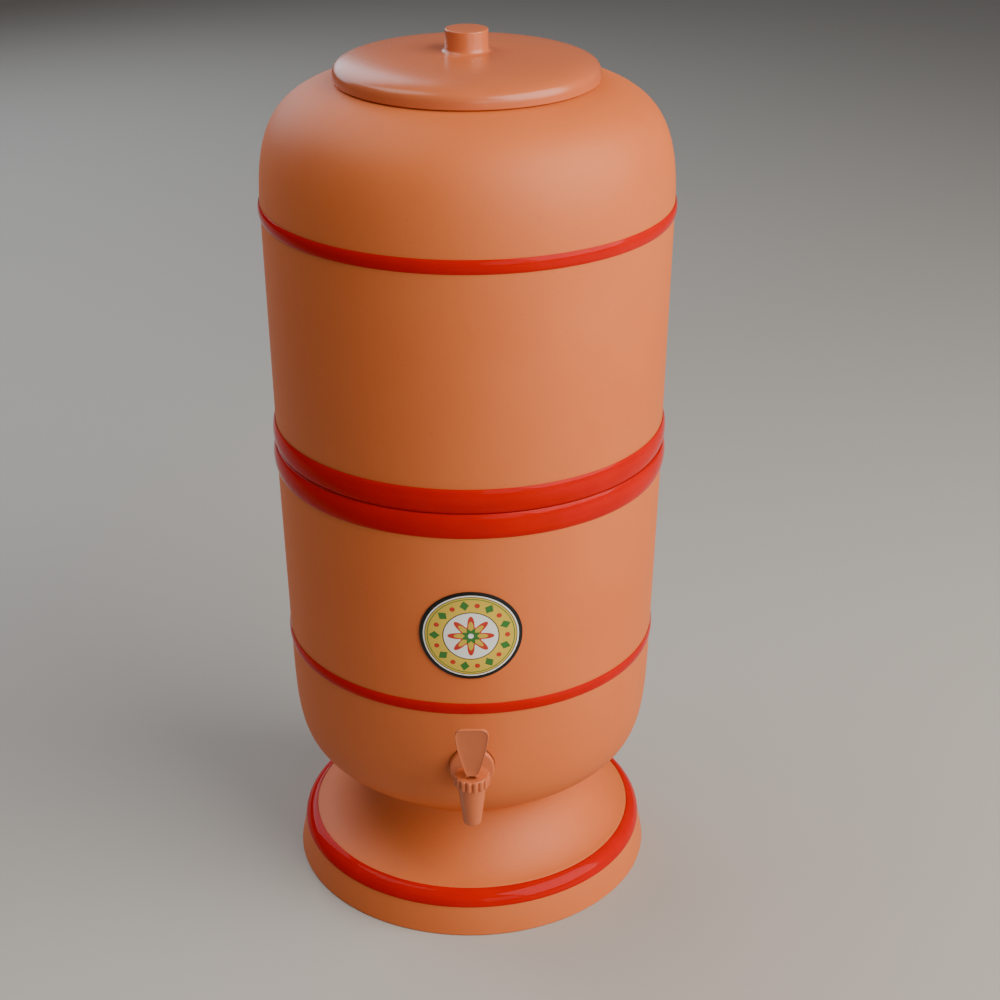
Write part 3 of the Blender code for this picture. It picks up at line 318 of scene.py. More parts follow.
class CandleSizes(bpy.types.PropertyGroup):
    """Shape of the candle, the float valve and their fastenings."""

    __annotations__ = settings(
        sides=(96, "Facets round the candle and the float valve"),
        wall=(0.006, "Thickness of the ceramic"),
        base=(0.007, "Height of the candle's base"),
        stem_radius=(0.0048, "Radius of the candle's stem"),
        stem_bore=(0.0020, "Radius of the stem's bore"),
        thread_pitch=(0.0014, "Rise of the stem's thread for each turn"),
        thread_depth=(0.0005, "Depth of the stem's thread"),
        hub_radius=(0.0090, "Radius of the float valve's hub"),
        hub_socket=(0.0100, "Depth of the hub's socket"),
        nozzle_length=(0.0060, "Length of the nozzle under the plate"),
        nozzle_radius=(0.0050, "Radius of the nozzle"),
        cage_plate=(0.0025, "Thickness of the cage's plate and ring"),
        cage_post=(0.0018, "Radius of a cage post"),
        cage_posts=(4, "Posts of the float's cage"),
        cage_ledge=(0.0035, "Width of the ring under the float"),
        float_edge=(0.0030, "Rounding of the float"),
        float_boss=(0.0040, "Height of the boss on the float"),
        boss_wall=(0.0016, "Wall round the stopper"),
        stopper_recess=(0.0012, "Depth of the stopper in its boss"),
    )


class Colours(bpy.types.PropertyGroup):
    """Colours of every finish."""

    __annotations__ = settings(
        clay=((0.63, 0.134, 0.026), "Fired clay"),
        clay_pale=((0.66, 0.150, 0.033), "Paler patches of the clay"),
        clay_grain=((0.47, 0.090, 0.018), "Darker grains in the clay"),
        red=((0.48, 0.0022, 0.0010), "Gloss paint of the bands"),
        red_thin=((0.55, 0.0035, 0.0012), "Paint where it lies thinner"),
        plastic=((0.58, 0.135, 0.043), "Moulded plastic of the lid and the tap"),
        label_rim=((0.003, 0.003, 0.003), "Rim of the label"),
        label_line=((0.80, 0.79, 0.74), "Light line and middle of the label"),
        label_field=((0.61, 0.42, 0.045), "Yellow field of the label"),
        label_green=((0.035, 0.17, 0.03), "Green motifs of the label"),
        label_red=((0.52, 0.03, 0.015), "Red motifs of the label"),
        ceramic=((0.78, 0.76, 0.70), "Porous candle"),
        carbon=((0.018, 0.018, 0.019), "Carbon core"),
        white=((0.74, 0.74, 0.72), "White moulded plastic"),
        silicone=((0.60, 0.60, 0.58), "Washers, cup and stopper"),
        steel=((0.62, 0.61, 0.60), "Spring and pin"),
        floor=((0.42, 0.39, 0.345), "Floor of the stage"),
    )


class StageSettings(bpy.types.PropertyGroup):
    """Light, floor and camera."""

    __annotations__ = settings(
        key=(43.5, "Large soft light from the upper right", "POWER"),
        window=(25.0, "Cool light from behind on the left", "POWER"),
        front=(2.4, "Weak light from beside the camera", "POWER"),
        top=(7.0, "Soft light from above the front", "POWER"),
        world=(0.115, "Strength of the even light all round", "NUMBER"),
        lens=(70.0, "Focal length in millimetres", "NUMBER"),
        floor_radius=(9.0, "Radius of the floor"),
    )


# ---- Nodes ----


def both_ways(operation):
    """A Math node's operation with the socket first, and its reflected form."""
    return (lambda self, other: self.maths(operation, self, other),
            lambda self, other: self.maths(operation, other, self))


def one_way(operation):
    return lambda self, *others: self.maths(operation, self, *others)


class Sum:
    """A socket that adds Math nodes to its tree when it stands in a Python expression."""

    def __init__(self, tree, socket):
        self.tree = tree
        self.socket = socket

    def maths(self, operation, *values):
        return Sum(self.tree, self.tree.out("ShaderNodeMath", dict(enumerate(values)), operation=operation))

    def clamped(self):
        return self.maths("MINIMUM", self.maths("MAXIMUM", self, 0.0), 1.0)

    __add__, __radd__ = both_ways("ADD")
    __sub__, __rsub__ = both_ways("SUBTRACT")
    __mul__, __rmul__ = both_ways("MULTIPLY")
    __truediv__, __rtruediv__ = both_ways("DIVIDE")
    __lt__, __gt__ = one_way("LESS_THAN"), one_way("GREATER_THAN")
    __abs__ = one_way("ABSOLUTE")
    fraction, root, cosine = one_way("FRACT"), one_way("SQRT"), one_way("COSINE")


class Tree:
    """A node tree, with one method that adds any node."""

    def __init__(self, tree):
        self.tree = tree

    def feed(self, node, values):
        """Sets or links a node's sockets. A list is several links into one socket."""
        for name, value in values.items():
            for one in value if isinstance(value, list) else [value]:
                one = one.socket if isinstance(one, Sum) else one
                if isinstance(one, bpy.types.NodeSocket):
                    self.tree.links.new(one, node.inputs[name])
                elif one is not None:
                    node.inputs[name].default_value = one

    def node(self, kind, values=None, **choices):
        """One node: its own settings are set first, then the values or links of its sockets."""
        made = self.tree.nodes.new(kind)
        for name, choice in choices.items():
            setattr(made, name, choice)
        self.feed(made, values or {})
        return made

    def out(self, kind, values=None, **choices):
        return self.node(kind, values, **choices).outputs[0]

    def parts(self, vector):
        return [Sum(self, part) for part in self.node("ShaderNodeSeparateXYZ", {0: vector}).outputs]


# Sockets of a Mix node for colours: factor, first and second colour, and the mixed colour
COLOUR_MIX_INPUTS, COLOUR_MIX_OUTPUT = (0, 6, 7), 2


class Finish(Tree):
    """A material round one Principled shader."""

    def __init__(self, name, specular=0.5, **constants):
        self.material = bpy.data.materials.new(name)
        self.material.use_nodes = True
        super().__init__(self.material.node_tree)
        self.shader = self.tree.nodes["Principled BSDF"]
        self.tone = bpy.context.scene.filter_colours
        self.feed(self.shader, {"Specular IOR Level": specular, **constants})

    def place(self, stretch=(1.0, 1.0, 1.0), origin=VESSEL_AXIS):
        """Object coordinates about origin, stretched for a pattern."""
        source = self.node("ShaderNodeTexCoord").outputs["Object"]
        moved = self.out("ShaderNodeVectorMath", {0: source, 1: origin}, operation="SUBTRACT")
        return self.out("ShaderNodeMapping", {"Vector": moved, "Scale": stretch})

    def noise(self, vector, scale=1.0, detail=2.0, roughness=0.5):
        values = {"Vector": vector, "Scale": scale, "Detail": detail, "Roughness": roughness}
        return Sum(self, self.out("ShaderNodeTexNoise", values))

    def mix(self, factor, first, second):
        """Two colours, each plain or a socket, mixed by factor."""
        inks = [ink if isinstance(ink, bpy.types.NodeSocket) else (*ink, 1.0) for ink in (first, second)]
        values = dict(zip(COLOUR_MIX_INPUTS, (factor, *inks)))
        return self.node("ShaderNodeMix", values, data_type="RGBA").outputs[COLOUR_MIX_OUTPUT]

    def surface(self, colour, roughness, *bumps):
        """Feeds the shader. A bump is a height, its distance and its strength, over the bump before it."""
        normal = None
        for height, distance, strength in bumps:
            values = {"Height": height, "Distance": distance, "Strength": strength, "Normal": normal}
            normal = self.out("ShaderNodeBump", values)
        self.feed(self.shader, {"Base Color": colour, "Roughness": roughness, "Normal": normal})
        return self.material


def between(value, low, high):
    """Where low to high stretches over 0 to 1, held at both ends."""
    return ((value - low) / (high - low)).clamped()


def shade(ink, strength):
    return [channel * strength for channel in ink]


# Red paint that ran into the joint: half its height, its rise over the joint and its inner radius
JOINT_PAINT, JOINT_PAINT_RISE, JOINT_PAINT_RADIUS = 0.0016, 0.0004, 0.1085


def fired_clay():
    made = Finish("fired_clay", 0.38)
    tone, spot = made.tone, made.place()
    patches = made.noise(spot, 14.0, 3.0, 0.55)
    rings = made.noise(made.place((5.0, 5.0, 330.0)), 1.0, 3.0, 0.6)
    grain = made.noise(spot, 1500.0, 2.0, 0.7)
    specks = made.noise(spot, 620.0, 1.0)
    colour = made.mix(between(patches, 0.35, 0.72), tone.clay, tone.clay_pale)
    colour = made.mix(between(rings, 0.50, 0.80) * 0.16, colour, tone.clay_pale)
    colour = made.mix(between(grain, 0.58, 0.80) * 0.30, colour, tone.clay_grain)
    colour = made.mix(between(specks, 0.70, 0.78) * 0.35, colour, tone.clay_grain)
    x, y, z = made.parts(spot)
    wobble = made.noise(made.place((40.0, 40.0, 40.0))) * 0.0008
    painted = abs(z + wobble - JOINT - JOINT_PAINT_RISE) < JOINT_PAINT
    painted = painted * ((x * x + y * y).root() > JOINT_PAINT_RADIUS)
    roughness = 0.46 + 0.14 * patches + 0.06 * grain - 0.25 * painted
    colour = made.mix(painted, colour, tone.red)
    return made.surface(colour, roughness, (rings, 0.00012, 0.35), (grain, 0.00003, 0.5))


def red_paint():
    made = Finish("red_paint", 0.075)
    flow = made.noise(made.place((9.0, 9.0, 240.0)), 1.0, 3.0)
    pool = made.noise(made.place(), 45.0)
    colour = made.mix(between(flow * 0.5 + pool * 0.5, 0.40, 0.70), made.tone.red, made.tone.red_thin)
    return made.surface(colour, 0.07 + 0.05 * pool, (flow, 0.00006, 0.20), (pool, 0.0003, 0.12))


def moulded_plastic(name, colour_name, gloss, ripple):
    """Satin or gloss moulded plastic: gloss is its least roughness, ripple its faint unevenness."""
    made = Finish(name, 0.45)
    tint, spot = getattr(made.tone, colour_name), made.place()
    cloud, grain = made.noise(spot, 60.0), made.noise(spot, 2200.0, 1.0)
    colour = made.mix(between(cloud, 0.30, 0.70), tint, shade(tint, 0.93))
    roughness = gloss + 0.07 * cloud + 0.03 * grain
    return made.surface(colour, roughness, (cloud, 0.0006, ripple), (grain, 0.000012, 0.35))


def porous_ceramic():
    made = Finish("porous_ceramic", 0.25)
    tint, spot = made.tone.ceramic, made.place()
    pores, stain = made.noise(spot, 1800.0, 2.0, 0.6), made.noise(spot, 40.0, 3.0, 0.6)
    stained = made.mix(between(stain, 0.45, 0.80) * 0.5, tint, shade(tint, 0.80))
    colour = made.mix(between(pores, 0.60, 0.75) * 0.4, stained, shade(tint, 0.80))
    return made.surface(colour, 0.80 + 0.12 * pores, (pores, 0.00008, 0.5))


def pressed_carbon():
    made = Finish("pressed_carbon", 0.3)
    tint, grains = made.tone.carbon, made.noise(made.place(), 1300.0, 2.0, 0.7)
    colour = made.mix(between(grains, 0.45, 0.70), tint, shade(tint, 2.6))
    return made.surface(colour, 0.75 + 0.20 * grains, (grains, 0.00015, 0.6))


def drawn_steel():
    made = Finish("drawn_steel", Metallic=1.0)
    tint, drawn = made.tone.steel, made.noise(made.place((900.0, 900.0, 4000.0), VALVE_AXIS), 1.0, 2.0, 0.6)
    return made.surface(made.mix(drawn, shade(tint, 0.8), tint), 0.18 + 0.16 * drawn, (drawn, 0.00001, 0.3))


def printed_film():
    """The label's print: rim, lines, a field with a ring of lozenges and dots, and a rosette."""
    sizes = bpy.context.scene.filter_label
    made = Finish("printed_film", 0.35, **{"Coat Weight": 0.08, "Coat Roughness": 0.2})
    tone = made.tone
    x, y, _ = made.parts(made.node("ShaderNodeAttribute", attribute_name="print_place").outputs["Vector"])
    out = (x * x + y * y).root()
    turn = x.maths("ARCTAN2", y, x)
    fibre = made.noise(made.place(origin=ORIGIN), 900.0)
    field = made.mix(between(out, 0.30, 0.90), shade(tone.label_field, 1.25), tone.label_field)
    across = abs((turn * (sizes.motifs / FULL_TURN)).fraction() - 0.5)
    band = abs(out - 0.70)
    lozenge = (across * 5.2 + band * 9.0) < 1.0
    dot = ((0.5 - across) * (0.5 - across) * 0.24 + band * band).root() < 0.052
    lobes = (turn * float(sizes.petals)).cosine()
    colour = tone.label_rim
    for inside, ink in (
        (out < 0.925, tone.label_line), (out < 0.895, tone.label_rim), (out < 0.880, field),
        (lozenge, tone.label_green), (dot, tone.label_red), (abs(out - 0.84) < 0.009, tone.label_green),
        (out < 0.545, tone.label_rim), (out < 0.525, tone.label_line),
        (out < (0.33 + 0.12 * lobes), tone.label_red), (out < (0.24 + 0.09 * lobes), tone.label_field),
        (out < (0.15 - 0.03 * lobes), tone.label_green), (out < 0.055, tone.label_line),
    ):
        colour = made.mix(inside, colour, ink)
    return made.surface(colour, 0.34 + 0.10 * fibre, (fibre, 0.00001, 0.3))


def floor_paint():
    made = Finish("floor_paint", 0.3)
    tint, cloud = made.tone.floor, made.noise(made.place(origin=ORIGIN), 3.0)
    return made.surface(made.mix(cloud, tint, shade(tint, 0.97)), 0.60 + 0.08 * cloud)


FINISHES = {
    "fired_clay": fired_clay,
    "red_glaze": red_paint,
    "clay_coloured_plastic": partial(moulded_plastic, "clay_coloured_plastic", "plastic", 0.21, 0.04),
    "printed_label": printed_film,
    "white_ceramic": porous_ceramic,
    "carbon_block": pressed_carbon,
    "white_plastic": partial(moulded_plastic, "white_plastic", "white", 0.34, 0.04),
    "silicone": partial(moulded_plastic, "silicone", "silicone", 0.48, 0.10),
    "stainless_wire": drawn_steel,
}


@lru_cache(maxsize=None)
def finish_for(slot):
    """The material for one of the record's slots, made once."""
    return FINISHES[slot]()


# ---- Geometry Nodes ----

THREAD_INPUTS = ("Thread Radius", "Thread Low", "Thread High", "Pitch", "Depth")
NO_THREAD = (0.0, 0.0, 0.0, 1.0, 0.0)


class Shaping(Tree):
    """A Geometry Nodes group with a geometry in and out, and named inputs for its sizes."""

    def __init__(self, name, numbers, **others):
        super().__init__(bpy.data.node_groups.new(name, "GeometryNodeTree"))
        add = self.tree.interface.new_socket
        kinds = {"Geometry": "Geometry", **others, **dict.fromkeys(numbers, "Float"), "Finish": "Material"}
        for label, kind in kinds.items():
            add(label, in_out="INPUT", socket_type="NodeSocket" + kind)
        add("Geometry", in_out="OUTPUT", socket_type="NodeSocketGeometry")
        self.given = self.tree.nodes.new("NodeGroupInput").outputs

    def end(self, geometry):
        real = self.out("GeometryNodeRealizeInstances", {0: geometry})
        finished = self.out("GeometryNodeSetMaterial", {"Geometry": real, "Material": self.given["Finish"]})
        self.node("NodeGroupOutput", {0: finished})
        return self.tree


def turned_tree():
    """Turns an outline about Z. A helical groove is sunk in it where its radius is the thread's."""
    tree = Shaping("turned_piece", ("Sweep Radius", "Weld", *THREAD_INPUTS), Sides="Int")
    given = tree.given
    profile = tree.out("GeometryNodeMeshToCurve", {0: given["Geometry"]})
    circle = {"Resolution": given["Sides"], "Radius": given["Sweep Radius"]}
    path = tree.out("GeometryNodeCurvePrimitiveCircle", circle, mode="RADIUS")
    swept = tree.out("GeometryNodeCurveToMesh", {"Curve": path, "Profile Curve": profile})
    welded = tree.out("GeometryNodeMergeByDistance", {"Geometry": swept, "Distance": given["Weld"]})
    x, y, z = tree.parts(tree.out("GeometryNodeInputPosition"))
    radius, low, high, pitch, depth = [Sum(tree, given[label]) for label in THREAD_INPUTS]
    out = (x * x + y * y).root()
    phase = (z / pitch - x.maths("ARCTAN2", y, x) / FULL_TURN).fraction()
    groove = 1.0 - abs(phase - 0.5) * 2.0
    fade = ((z - low) / pitch).clamped() * ((high - z) / pitch).clamped()
    inward = groove * fade * (abs(out - radius) < ON_THREAD) * depth / (out + WELD)
    flat = tree.out("ShaderNodeCombineXYZ", {0: x, 1: y})
    shift = tree.out("ShaderNodeVectorMath", {0: flat, "Scale": 0.0 - inward}, operation="SCALE")
    return tree.end(tree.out("GeometryNodeSetPosition", {"Geometry": welded, "Offset": shift}))


def ring_tree():
    """Sets copies of an object round a circle and joins them with the piece into one solid."""
    tree = Shaping("ring_of_copies", ("Radius", "Start Angle"), Copy="Object", Count="Int")
    given = tree.given
    ring = tree.out("GeometryNodeMeshCircle", {"Vertices": given["Count"], "Radius": given["Radius"]})
    heading = Sum(tree, tree.out("GeometryNodeInputIndex")) * FULL_TURN / Sum(tree, given["Count"])
    facing = tree.out("ShaderNodeCombineXYZ", {2: heading})
    copied = tree.node("GeometryNodeObjectInfo", {"Object": given["Copy"]}).outputs["Geometry"]
    placed = {"Points": ring, "Instance": copied, "Rotation": facing}
    placed = tree.out("GeometryNodeInstanceOnPoints", placed)
    turn = tree.out("ShaderNodeCombineXYZ", {2: given["Start Angle"]})
    started = tree.out("GeometryNodeTransform", {"Geometry": placed, "Rotation": turn})
    loose = tree.out("GeometryNodeRealizeInstances", {0: started})
    both = {"Mesh 2": [given["Geometry"], loose]}
    return tree.end(tree.out("GeometryNodeMeshBoolean", both, operation="UNION", solver="EXACT"))


def coil_tree():
    """A round wire wound into a spring that rises along Z."""
    tree = Shaping("coil", ("Turns", "Coil Radius", "Wire Radius", "Height"), Steps="Int")
    given = tree.given
    winding = {"Resolution": given["Steps"], "Rotations": given["Turns"], "Height": given["Height"]}
    winding.update({"Start Radius": given["Coil Radius"], "End Radius": given["Coil Radius"]})
    path = tree.out("GeometryNodeCurveSpiral", winding)
    section = {"Resolution": WIRE_SIDES, "Radius": given["Wire Radius"]}
    wire = tree.out("GeometryNodeCurvePrimitiveCircle", section, mode="RADIUS")
    values = {"Curve": path, "Profile Curve": wire, "Fill Caps": True}
    return tree.end(tree.out("GeometryNodeCurveToMesh", values))


TREES = {"turned_piece": turned_tree, "ring_of_copies": ring_tree, "coil": coil_tree}


def shaped(item, tree_name, values):
    """Runs a node tree on an object and keeps the result as its plain mesh."""
    tree = bpy.data.node_groups.get(tree_name) or TREES[tree_name]()
    modifier = item.modifiers.new(tree_name, "NODES")
    modifier.node_group = tree
    for socket in tree.interface.items_tree:
        if socket.in_out == "INPUT" and socket.name in values:
            modifier[socket.identifier] = values[socket.name]
    return baked(item)


def baked(item):
    """The object's evaluated mesh in place of its modifiers."""
    bpy.context.view_layer.update()
    result = item.evaluated_get(bpy.context.evaluated_depsgraph_get())
    mesh = bpy.data.meshes.new_from_object(result)
    item.modifiers.clear()
    item.data = mesh
    return item


# ---- Meshes ----


def linked(name, data):
    item = bpy.data.objects.new(name, data)
    bpy.context.scene.collection.objects.link(item)
    return item


def meshed(name, form):
    mesh = bpy.data.meshes.new(name)
    form.to_mesh(mesh)
    form.free()
    return linked(name, mesh)


def from_form(name, form):
    """An object from a bmesh, welded and with its faces out."""
    bmesh.ops.remove_doubles(form, verts=form.verts, dist=WELD)
    bmesh.ops.recalc_face_normals(form, faces=form.faces)
    return meshed(name, form)


def tidied(item):
    """Faces out, rounds smooth, real edges sharp."""
    form = bmesh.new()
    form.from_mesh(item.data)
    bmesh.ops.recalc_face_normals(form, faces=form.faces)
    form.to_mesh(item.data)
    form.free()
    item.data.shade_smooth()
    item.data.set_sharp_from_angle(angle=SHARP_ANGLE)
    return item


def looped(ring):
    """Each item of a closed ring with the one after it."""
    return zip(ring, ring[1:] + ring[:1])


def skin(form, rings):
    """Faces from each ring of vertices to the next."""
    for near, far in zip(rings, rings[1:]):
        for (a, b), (c, d) in zip(looped(near), looped(far)):
            form.faces.new((a, b, d, c))


def fan(form, ring, hub):
    for a, b in looped(ring):
        form.faces.new((a, b, hub))


def shares(steps):
    """Even shares from 0 to 1, both included."""
    return [index / steps for index in range(steps + 1)]


def bezier(start, start_pull, end_pull, end, steps):
    """Points along a cubic curve, both ends included."""
    points = []
    for t in shares(steps):
        s = 1 - t
        weights = (s * s * s, 3 * s * s * t, 3 * s * t * t, t * t * t)
        corners = (start, start_pull, end_pull, end)
        points.append(tuple(sum(w * corner[axis] for w, corner in zip(weights, corners)) for axis in (0, 1)))
    return points


def pulled(spot, slope, size):
    """A point moved along a slope, which bends the curve that ends at spot."""
    way = Vector((cos(slope), sin(slope))) * size
    return spot[0] + way.x, spot[1] + way.y


def beside(points, distance):
    """The curve moved towards the inside of the vessel on a falling outline."""
    moved = []
    for (radius, height), before, after in zip(points, points[:1] + points, points[1:] + points[-1:]):
        run = (after[0] - before[0], after[1] - before[1])
        size = hypot(*run)
        moved.append((radius + distance * run[1] / size, height - distance * run[0] / size))
    return moved


def softened(corners, steps=5):
    """The points of an outline, with its roundings made."""
    sized = [(Vector(corner[:2]), sum(corner[2:])) for corner in corners]
    points = []
    for index, (corner, size) in enumerate(sized):
        if size == 0.0:
            points.append(corner)
            continue
        ends = []
        for beyond, soft in (sized[index - 1], sized[(index + 1) % len(sized)]):
            run = beyond - corner
            ends.append(corner + run.normalized() * min(size, run.length / 2 if soft else run.length))
        for t in shares(steps):
            points.append(ends[0] * (1 - t) ** 2 + corner * 2 * t * (1 - t) + ends[1] * t * t)
    return points


def turned(node, name, corners, sides, place=VESSEL_AXIS, turn=UPRIGHT, thread=None):
    """A solid for a node, turned about its axis; thread gives radius, low, high, pitch and depth."""
    outline = softened(threaded(corners, thread) if thread else corners)
    form = bmesh.new()
    points = [form.verts.new((radius - SWEEP_RADIUS, -height, 0.0)) for radius, height in outline]
    for (spot, point), (beyond, after) in looped(list(zip(outline, points))):
        if spot.x > 0.0 or beyond.x > 0.0:
            form.edges.new((point, after))
    values = {"Sides": sides, "Sweep Radius": SWEEP_RADIUS, "Weld": WELD, "Finish": finish_for(SLOTS[node])}
    values.update(zip(THREAD_INPUTS, thread or NO_THREAD))
    item = shaped(meshed(name, form), "turned_piece", values)
    item.data.transform(Matrix.Translation(place) @ turn)
    return tidied(item)


def threaded(corners, thread):
    """Adds close heights on the one upright side that spans the thread."""
    _, low, high, pitch, _ = thread
    rows = int((high - low - WELD) / (pitch / THREAD_ROWS))
    for index, (corner, after) in enumerate(looped(corners)):
        if corner[0] == after[0] > 0.0 and corner[1] >= high and after[1] <= low + WELD:
            added = [(corner[0], high - (high - low - WELD) * row / rows) for row in range(rows + 1)]
            return corners[:index + 1] + added + corners[index + 1:]
    raise ValueError("no side of this outline spans its thread")


def rod(radius, low, high, edge=0.0):
    return [(0.0, high), (radius, high, edge), (radius, low, edge), (0.0, low)]


def tube(inner, outer, low, high, edge):
    return [(outer, high, edge), (outer, low, edge), (inner, low, edge), (inner, high, edge)]


def combined(target, operation, *others):
    """Booleans other objects into target and removes them."""
    for other in others:
        modifier = target.modifiers.new(other.name, "BOOLEAN")
        modifier.operation = operation
        modifier.solver = "MANIFOLD"
        modifier.object = other
    baked(target)
    for other in others:
        bpy.data.objects.remove(other, do_unlink=True)
    return tidied(target)


def ringed(item, copy, count, radius, node):
    """Joins count copies of an object to the piece, round a circle."""
    values = {"Copy": copy, "Count": count, "Radius": radius, "Start Angle": pi / count}
    shaped(item, "ring_of_copies", {**values, "Finish": finish_for(SLOTS[node])})
    bpy.data.objects.remove(copy, do_unlink=True)
    return item


def extruded(node, name, outline, half_width):
    """A plate of (front, up) points from the pin, extruded across the object. Front points to -Y."""
    form = bmesh.new()
    face = form.faces.new([form.verts.new((-half_width, -front, up)) for front, up in outline])
    grown = bmesh.ops.extrude_face_region(form, geom=[face])["geom"]
    verts = [item for item in grown if isinstance(item, bmesh.types.BMVert)]
    bmesh.ops.translate(form, verts=verts, vec=(2 * half_width, 0.0, 0.0))
    item = from_form(name, form)
    item.data.transform(Matrix.Translation(PIN_CENTRE))
    item.data.materials.append(finish_for(SLOTS[node]))
    return item


def fitted(item, node):
    """Puts a finished piece in the place of its node: finish, body and slot come from the record."""
    slot, body = SLOTS[node], BODIES[node]
    item.data.materials.clear()
    item.data.materials.append(finish_for(slot))
    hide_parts(node)
    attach(item, body)
    return item


def fit_turned(node, *shape, **more):
    """Turns a piece and puts it in the place of its node."""
    return fitted(turned(node, *shape, **more), node)


# ---- Pieces ----


def bowl_curve(sizes, steps):
    """Outside of the bowl, from the waist down to the neck."""
    lean = (JOINT_RADIUS - sizes.waist_radius) / (JOINT - sizes.waist_height)
    start, end = (sizes.waist_radius, sizes.waist_height), (sizes.neck_radius, sizes.neck_height)
    start_pull = (start[0] - sizes.bowl_drop * lean, start[1] - sizes.bowl_drop)
    return bezier(start, start_pull, pulled(end, sizes.neck_slope, sizes.bowl_sweep), end, steps)


def foot_curve(sizes, steps):
    """Outside of the neck and the foot's top, down to the foot's shoulder."""
    start, end = (sizes.neck_radius, sizes.neck_height), (sizes.foot_top_radius, sizes.foot_top_height)
    start_pull = pulled(start, sizes.neck_slope, -sizes.neck_fillet)
    return bezier(start, start_pull, pulled(end, pi - sizes.foot_top_slope, sizes.foot_sweep), end, steps)


def dome_curve(sizes, steps):
    """Outside of the shoulder, from the lid's seat down to the wall."""
    seat, shoulder = (sizes.mouth_radius + sizes.mouth_rim, DOME_TOP), (DOME_RADIUS, sizes.dome_height)
    rise = (shoulder[0], shoulder[1] + sizes.dome_rise)
    return bezier(seat, pulled(seat, -sizes.dome_slope, sizes.dome_sweep), rise, shoulder, steps)


def wall_radius(sizes, height):
    """Outer radius of either vessel's straight wall."""
    if height <= JOINT:
        part = (height - sizes.waist_height) / (JOINT - sizes.waist_height)
        return sizes.waist_radius + part * (JOINT_RADIUS - sizes.waist_radius)
    part = (height - JOINT) / (sizes.dome_height - JOINT)
    base = JOINT_RADIUS - sizes.joint_step
    return base + part * (DOME_RADIUS - base)


# Room that the hollow's curve keeps from the foot's wall, and half of what it keeps from the ceiling
HOLLOW_MARGIN = 0.001


def lower_outline(sizes):
    """Outer skin down to the ground, the foot's hollow, then the inside of the bowl."""
    inside = JOINT_RADIUS - sizes.wall
    skin_side = [(inside, JOINT, sizes.lip_edge), (JOINT_RADIUS, JOINT, sizes.joint_edge)]
    skin_side += bowl_curve(sizes, LONG_CURVE) + foot_curve(sizes, FOOT_CURVE)[1:]
    skin_side.append((sizes.foot_rim_radius, sizes.foot_rim_height, SOFT))
    skin_side.append((sizes.foot_radius, 0.0, sizes.foot_edge))
    hollow_radius = sizes.foot_rim_radius - sizes.foot_wall
    ceiling = sizes.floor_height - sizes.floor_thickness
    under = beside(foot_curve(sizes, HOLLOW_CURVE), sizes.foot_wall)[::-1]
    reach, rise = hollow_radius - HOLLOW_MARGIN, ceiling - 2 * HOLLOW_MARGIN
    hollow = [spot for spot in under if spot[0] < reach and spot[1] < rise]
    hollow += [(hollow[-1][0] - sizes.foot_wall, ceiling, HOLLOW_EDGE), (0.0, ceiling)]
    floor = [(0.0, sizes.floor_height), (sizes.floor_radius, sizes.floor_height, FLOOR_EDGE)]
    bowl = beside(bowl_curve(sizes, INSIDE_CURVE), sizes.wall)[::-1]
    bowl = [spot for spot in bowl if spot[1] > sizes.floor_height + sizes.floor_thickness]
    return skin_side + [(hollow_radius, 0.0, BLUNT)] + hollow + floor + bowl


def upper_outline(sizes):
    """Outer skin down to the joint, the spigot, the floor with the stem's hole, then the inside."""
    joint = JOINT + GAP
    underside = joint - GAP - sizes.spigot_depth
    floor_top = underside + sizes.upper_floor
    spigot = JOINT_RADIUS - sizes.wall - sizes.spigot_clearance
    outline = dome_curve(sizes, LONG_CURVE) + [(JOINT_RADIUS - sizes.joint_step, joint, sizes.joint_edge)]
    outline += [(spigot, joint, FINE), (spigot, underside, sizes.lip_edge)]
    outline += [(sizes.stem_hole, underside, FINE), (sizes.stem_hole, floor_top, FINE)]
    outline.append((wall_radius(sizes, floor_top) - sizes.wall, floor_top, sizes.inner_fillet))
    inside = beside(dome_curve(sizes, INSIDE_CURVE), sizes.wall)[::-1]
    outline += [spot for spot in inside if spot[0] > sizes.mouth_radius + sizes.wall]
    seat = DOME_TOP - sizes.wall
    return outline + [(sizes.mouth_radius, seat, SEAT_EDGE), (sizes.mouth_radius, DOME_TOP, sizes.lip_edge)]


class FILTER_OT_vessels(bpy.types.Operator):
    """Makes the lower vessel with its foot, and the upper vessel"""

    bl_idname = "filter.vessels"
    bl_label = "Clay vessels"

    def execute(self, context):
        sizes, tap = context.scene.filter_vessels, context.scene.filter_tap
        lower = turned("lower_reservoir", "lower_vessel", lower_outline(sizes), sizes.sides)
        outer_low, flange_back = along_shank("tap_outer_washer")
        outer_seat, inner_seat = outer_low - GAP, along_shank("tap_inner_washer")[1] + GAP
        outside, inside = flange_back + GAP + OVERRUN, along_shank("tap_lock_nut")[1] - OVERRUN
        hole, outer = tap.shank_radius + GAP, tap.flange_radius + GAP
        inner = span("tap_inner_washer")[2] + GAP
        seat = [(0.0, outside), (outer, outside), (outer, outer_seat), (hole, outer_seat)]
        seat += [(hole, inner_seat), (inner, inner_seat), (inner, inside), (0.0, inside)]
        cutter = turned("lower_reservoir", "tap_seat_cutter", seat, tap.sides, SHANK_AXIS, TO_FRONT)
        fitted(combined(lower, "DIFFERENCE", cutter), "lower_reservoir")
        fit_turned("upper_reservoir", "upper_vessel", upper_outline(sizes), sizes.sides)
        return {"FINISHED"}


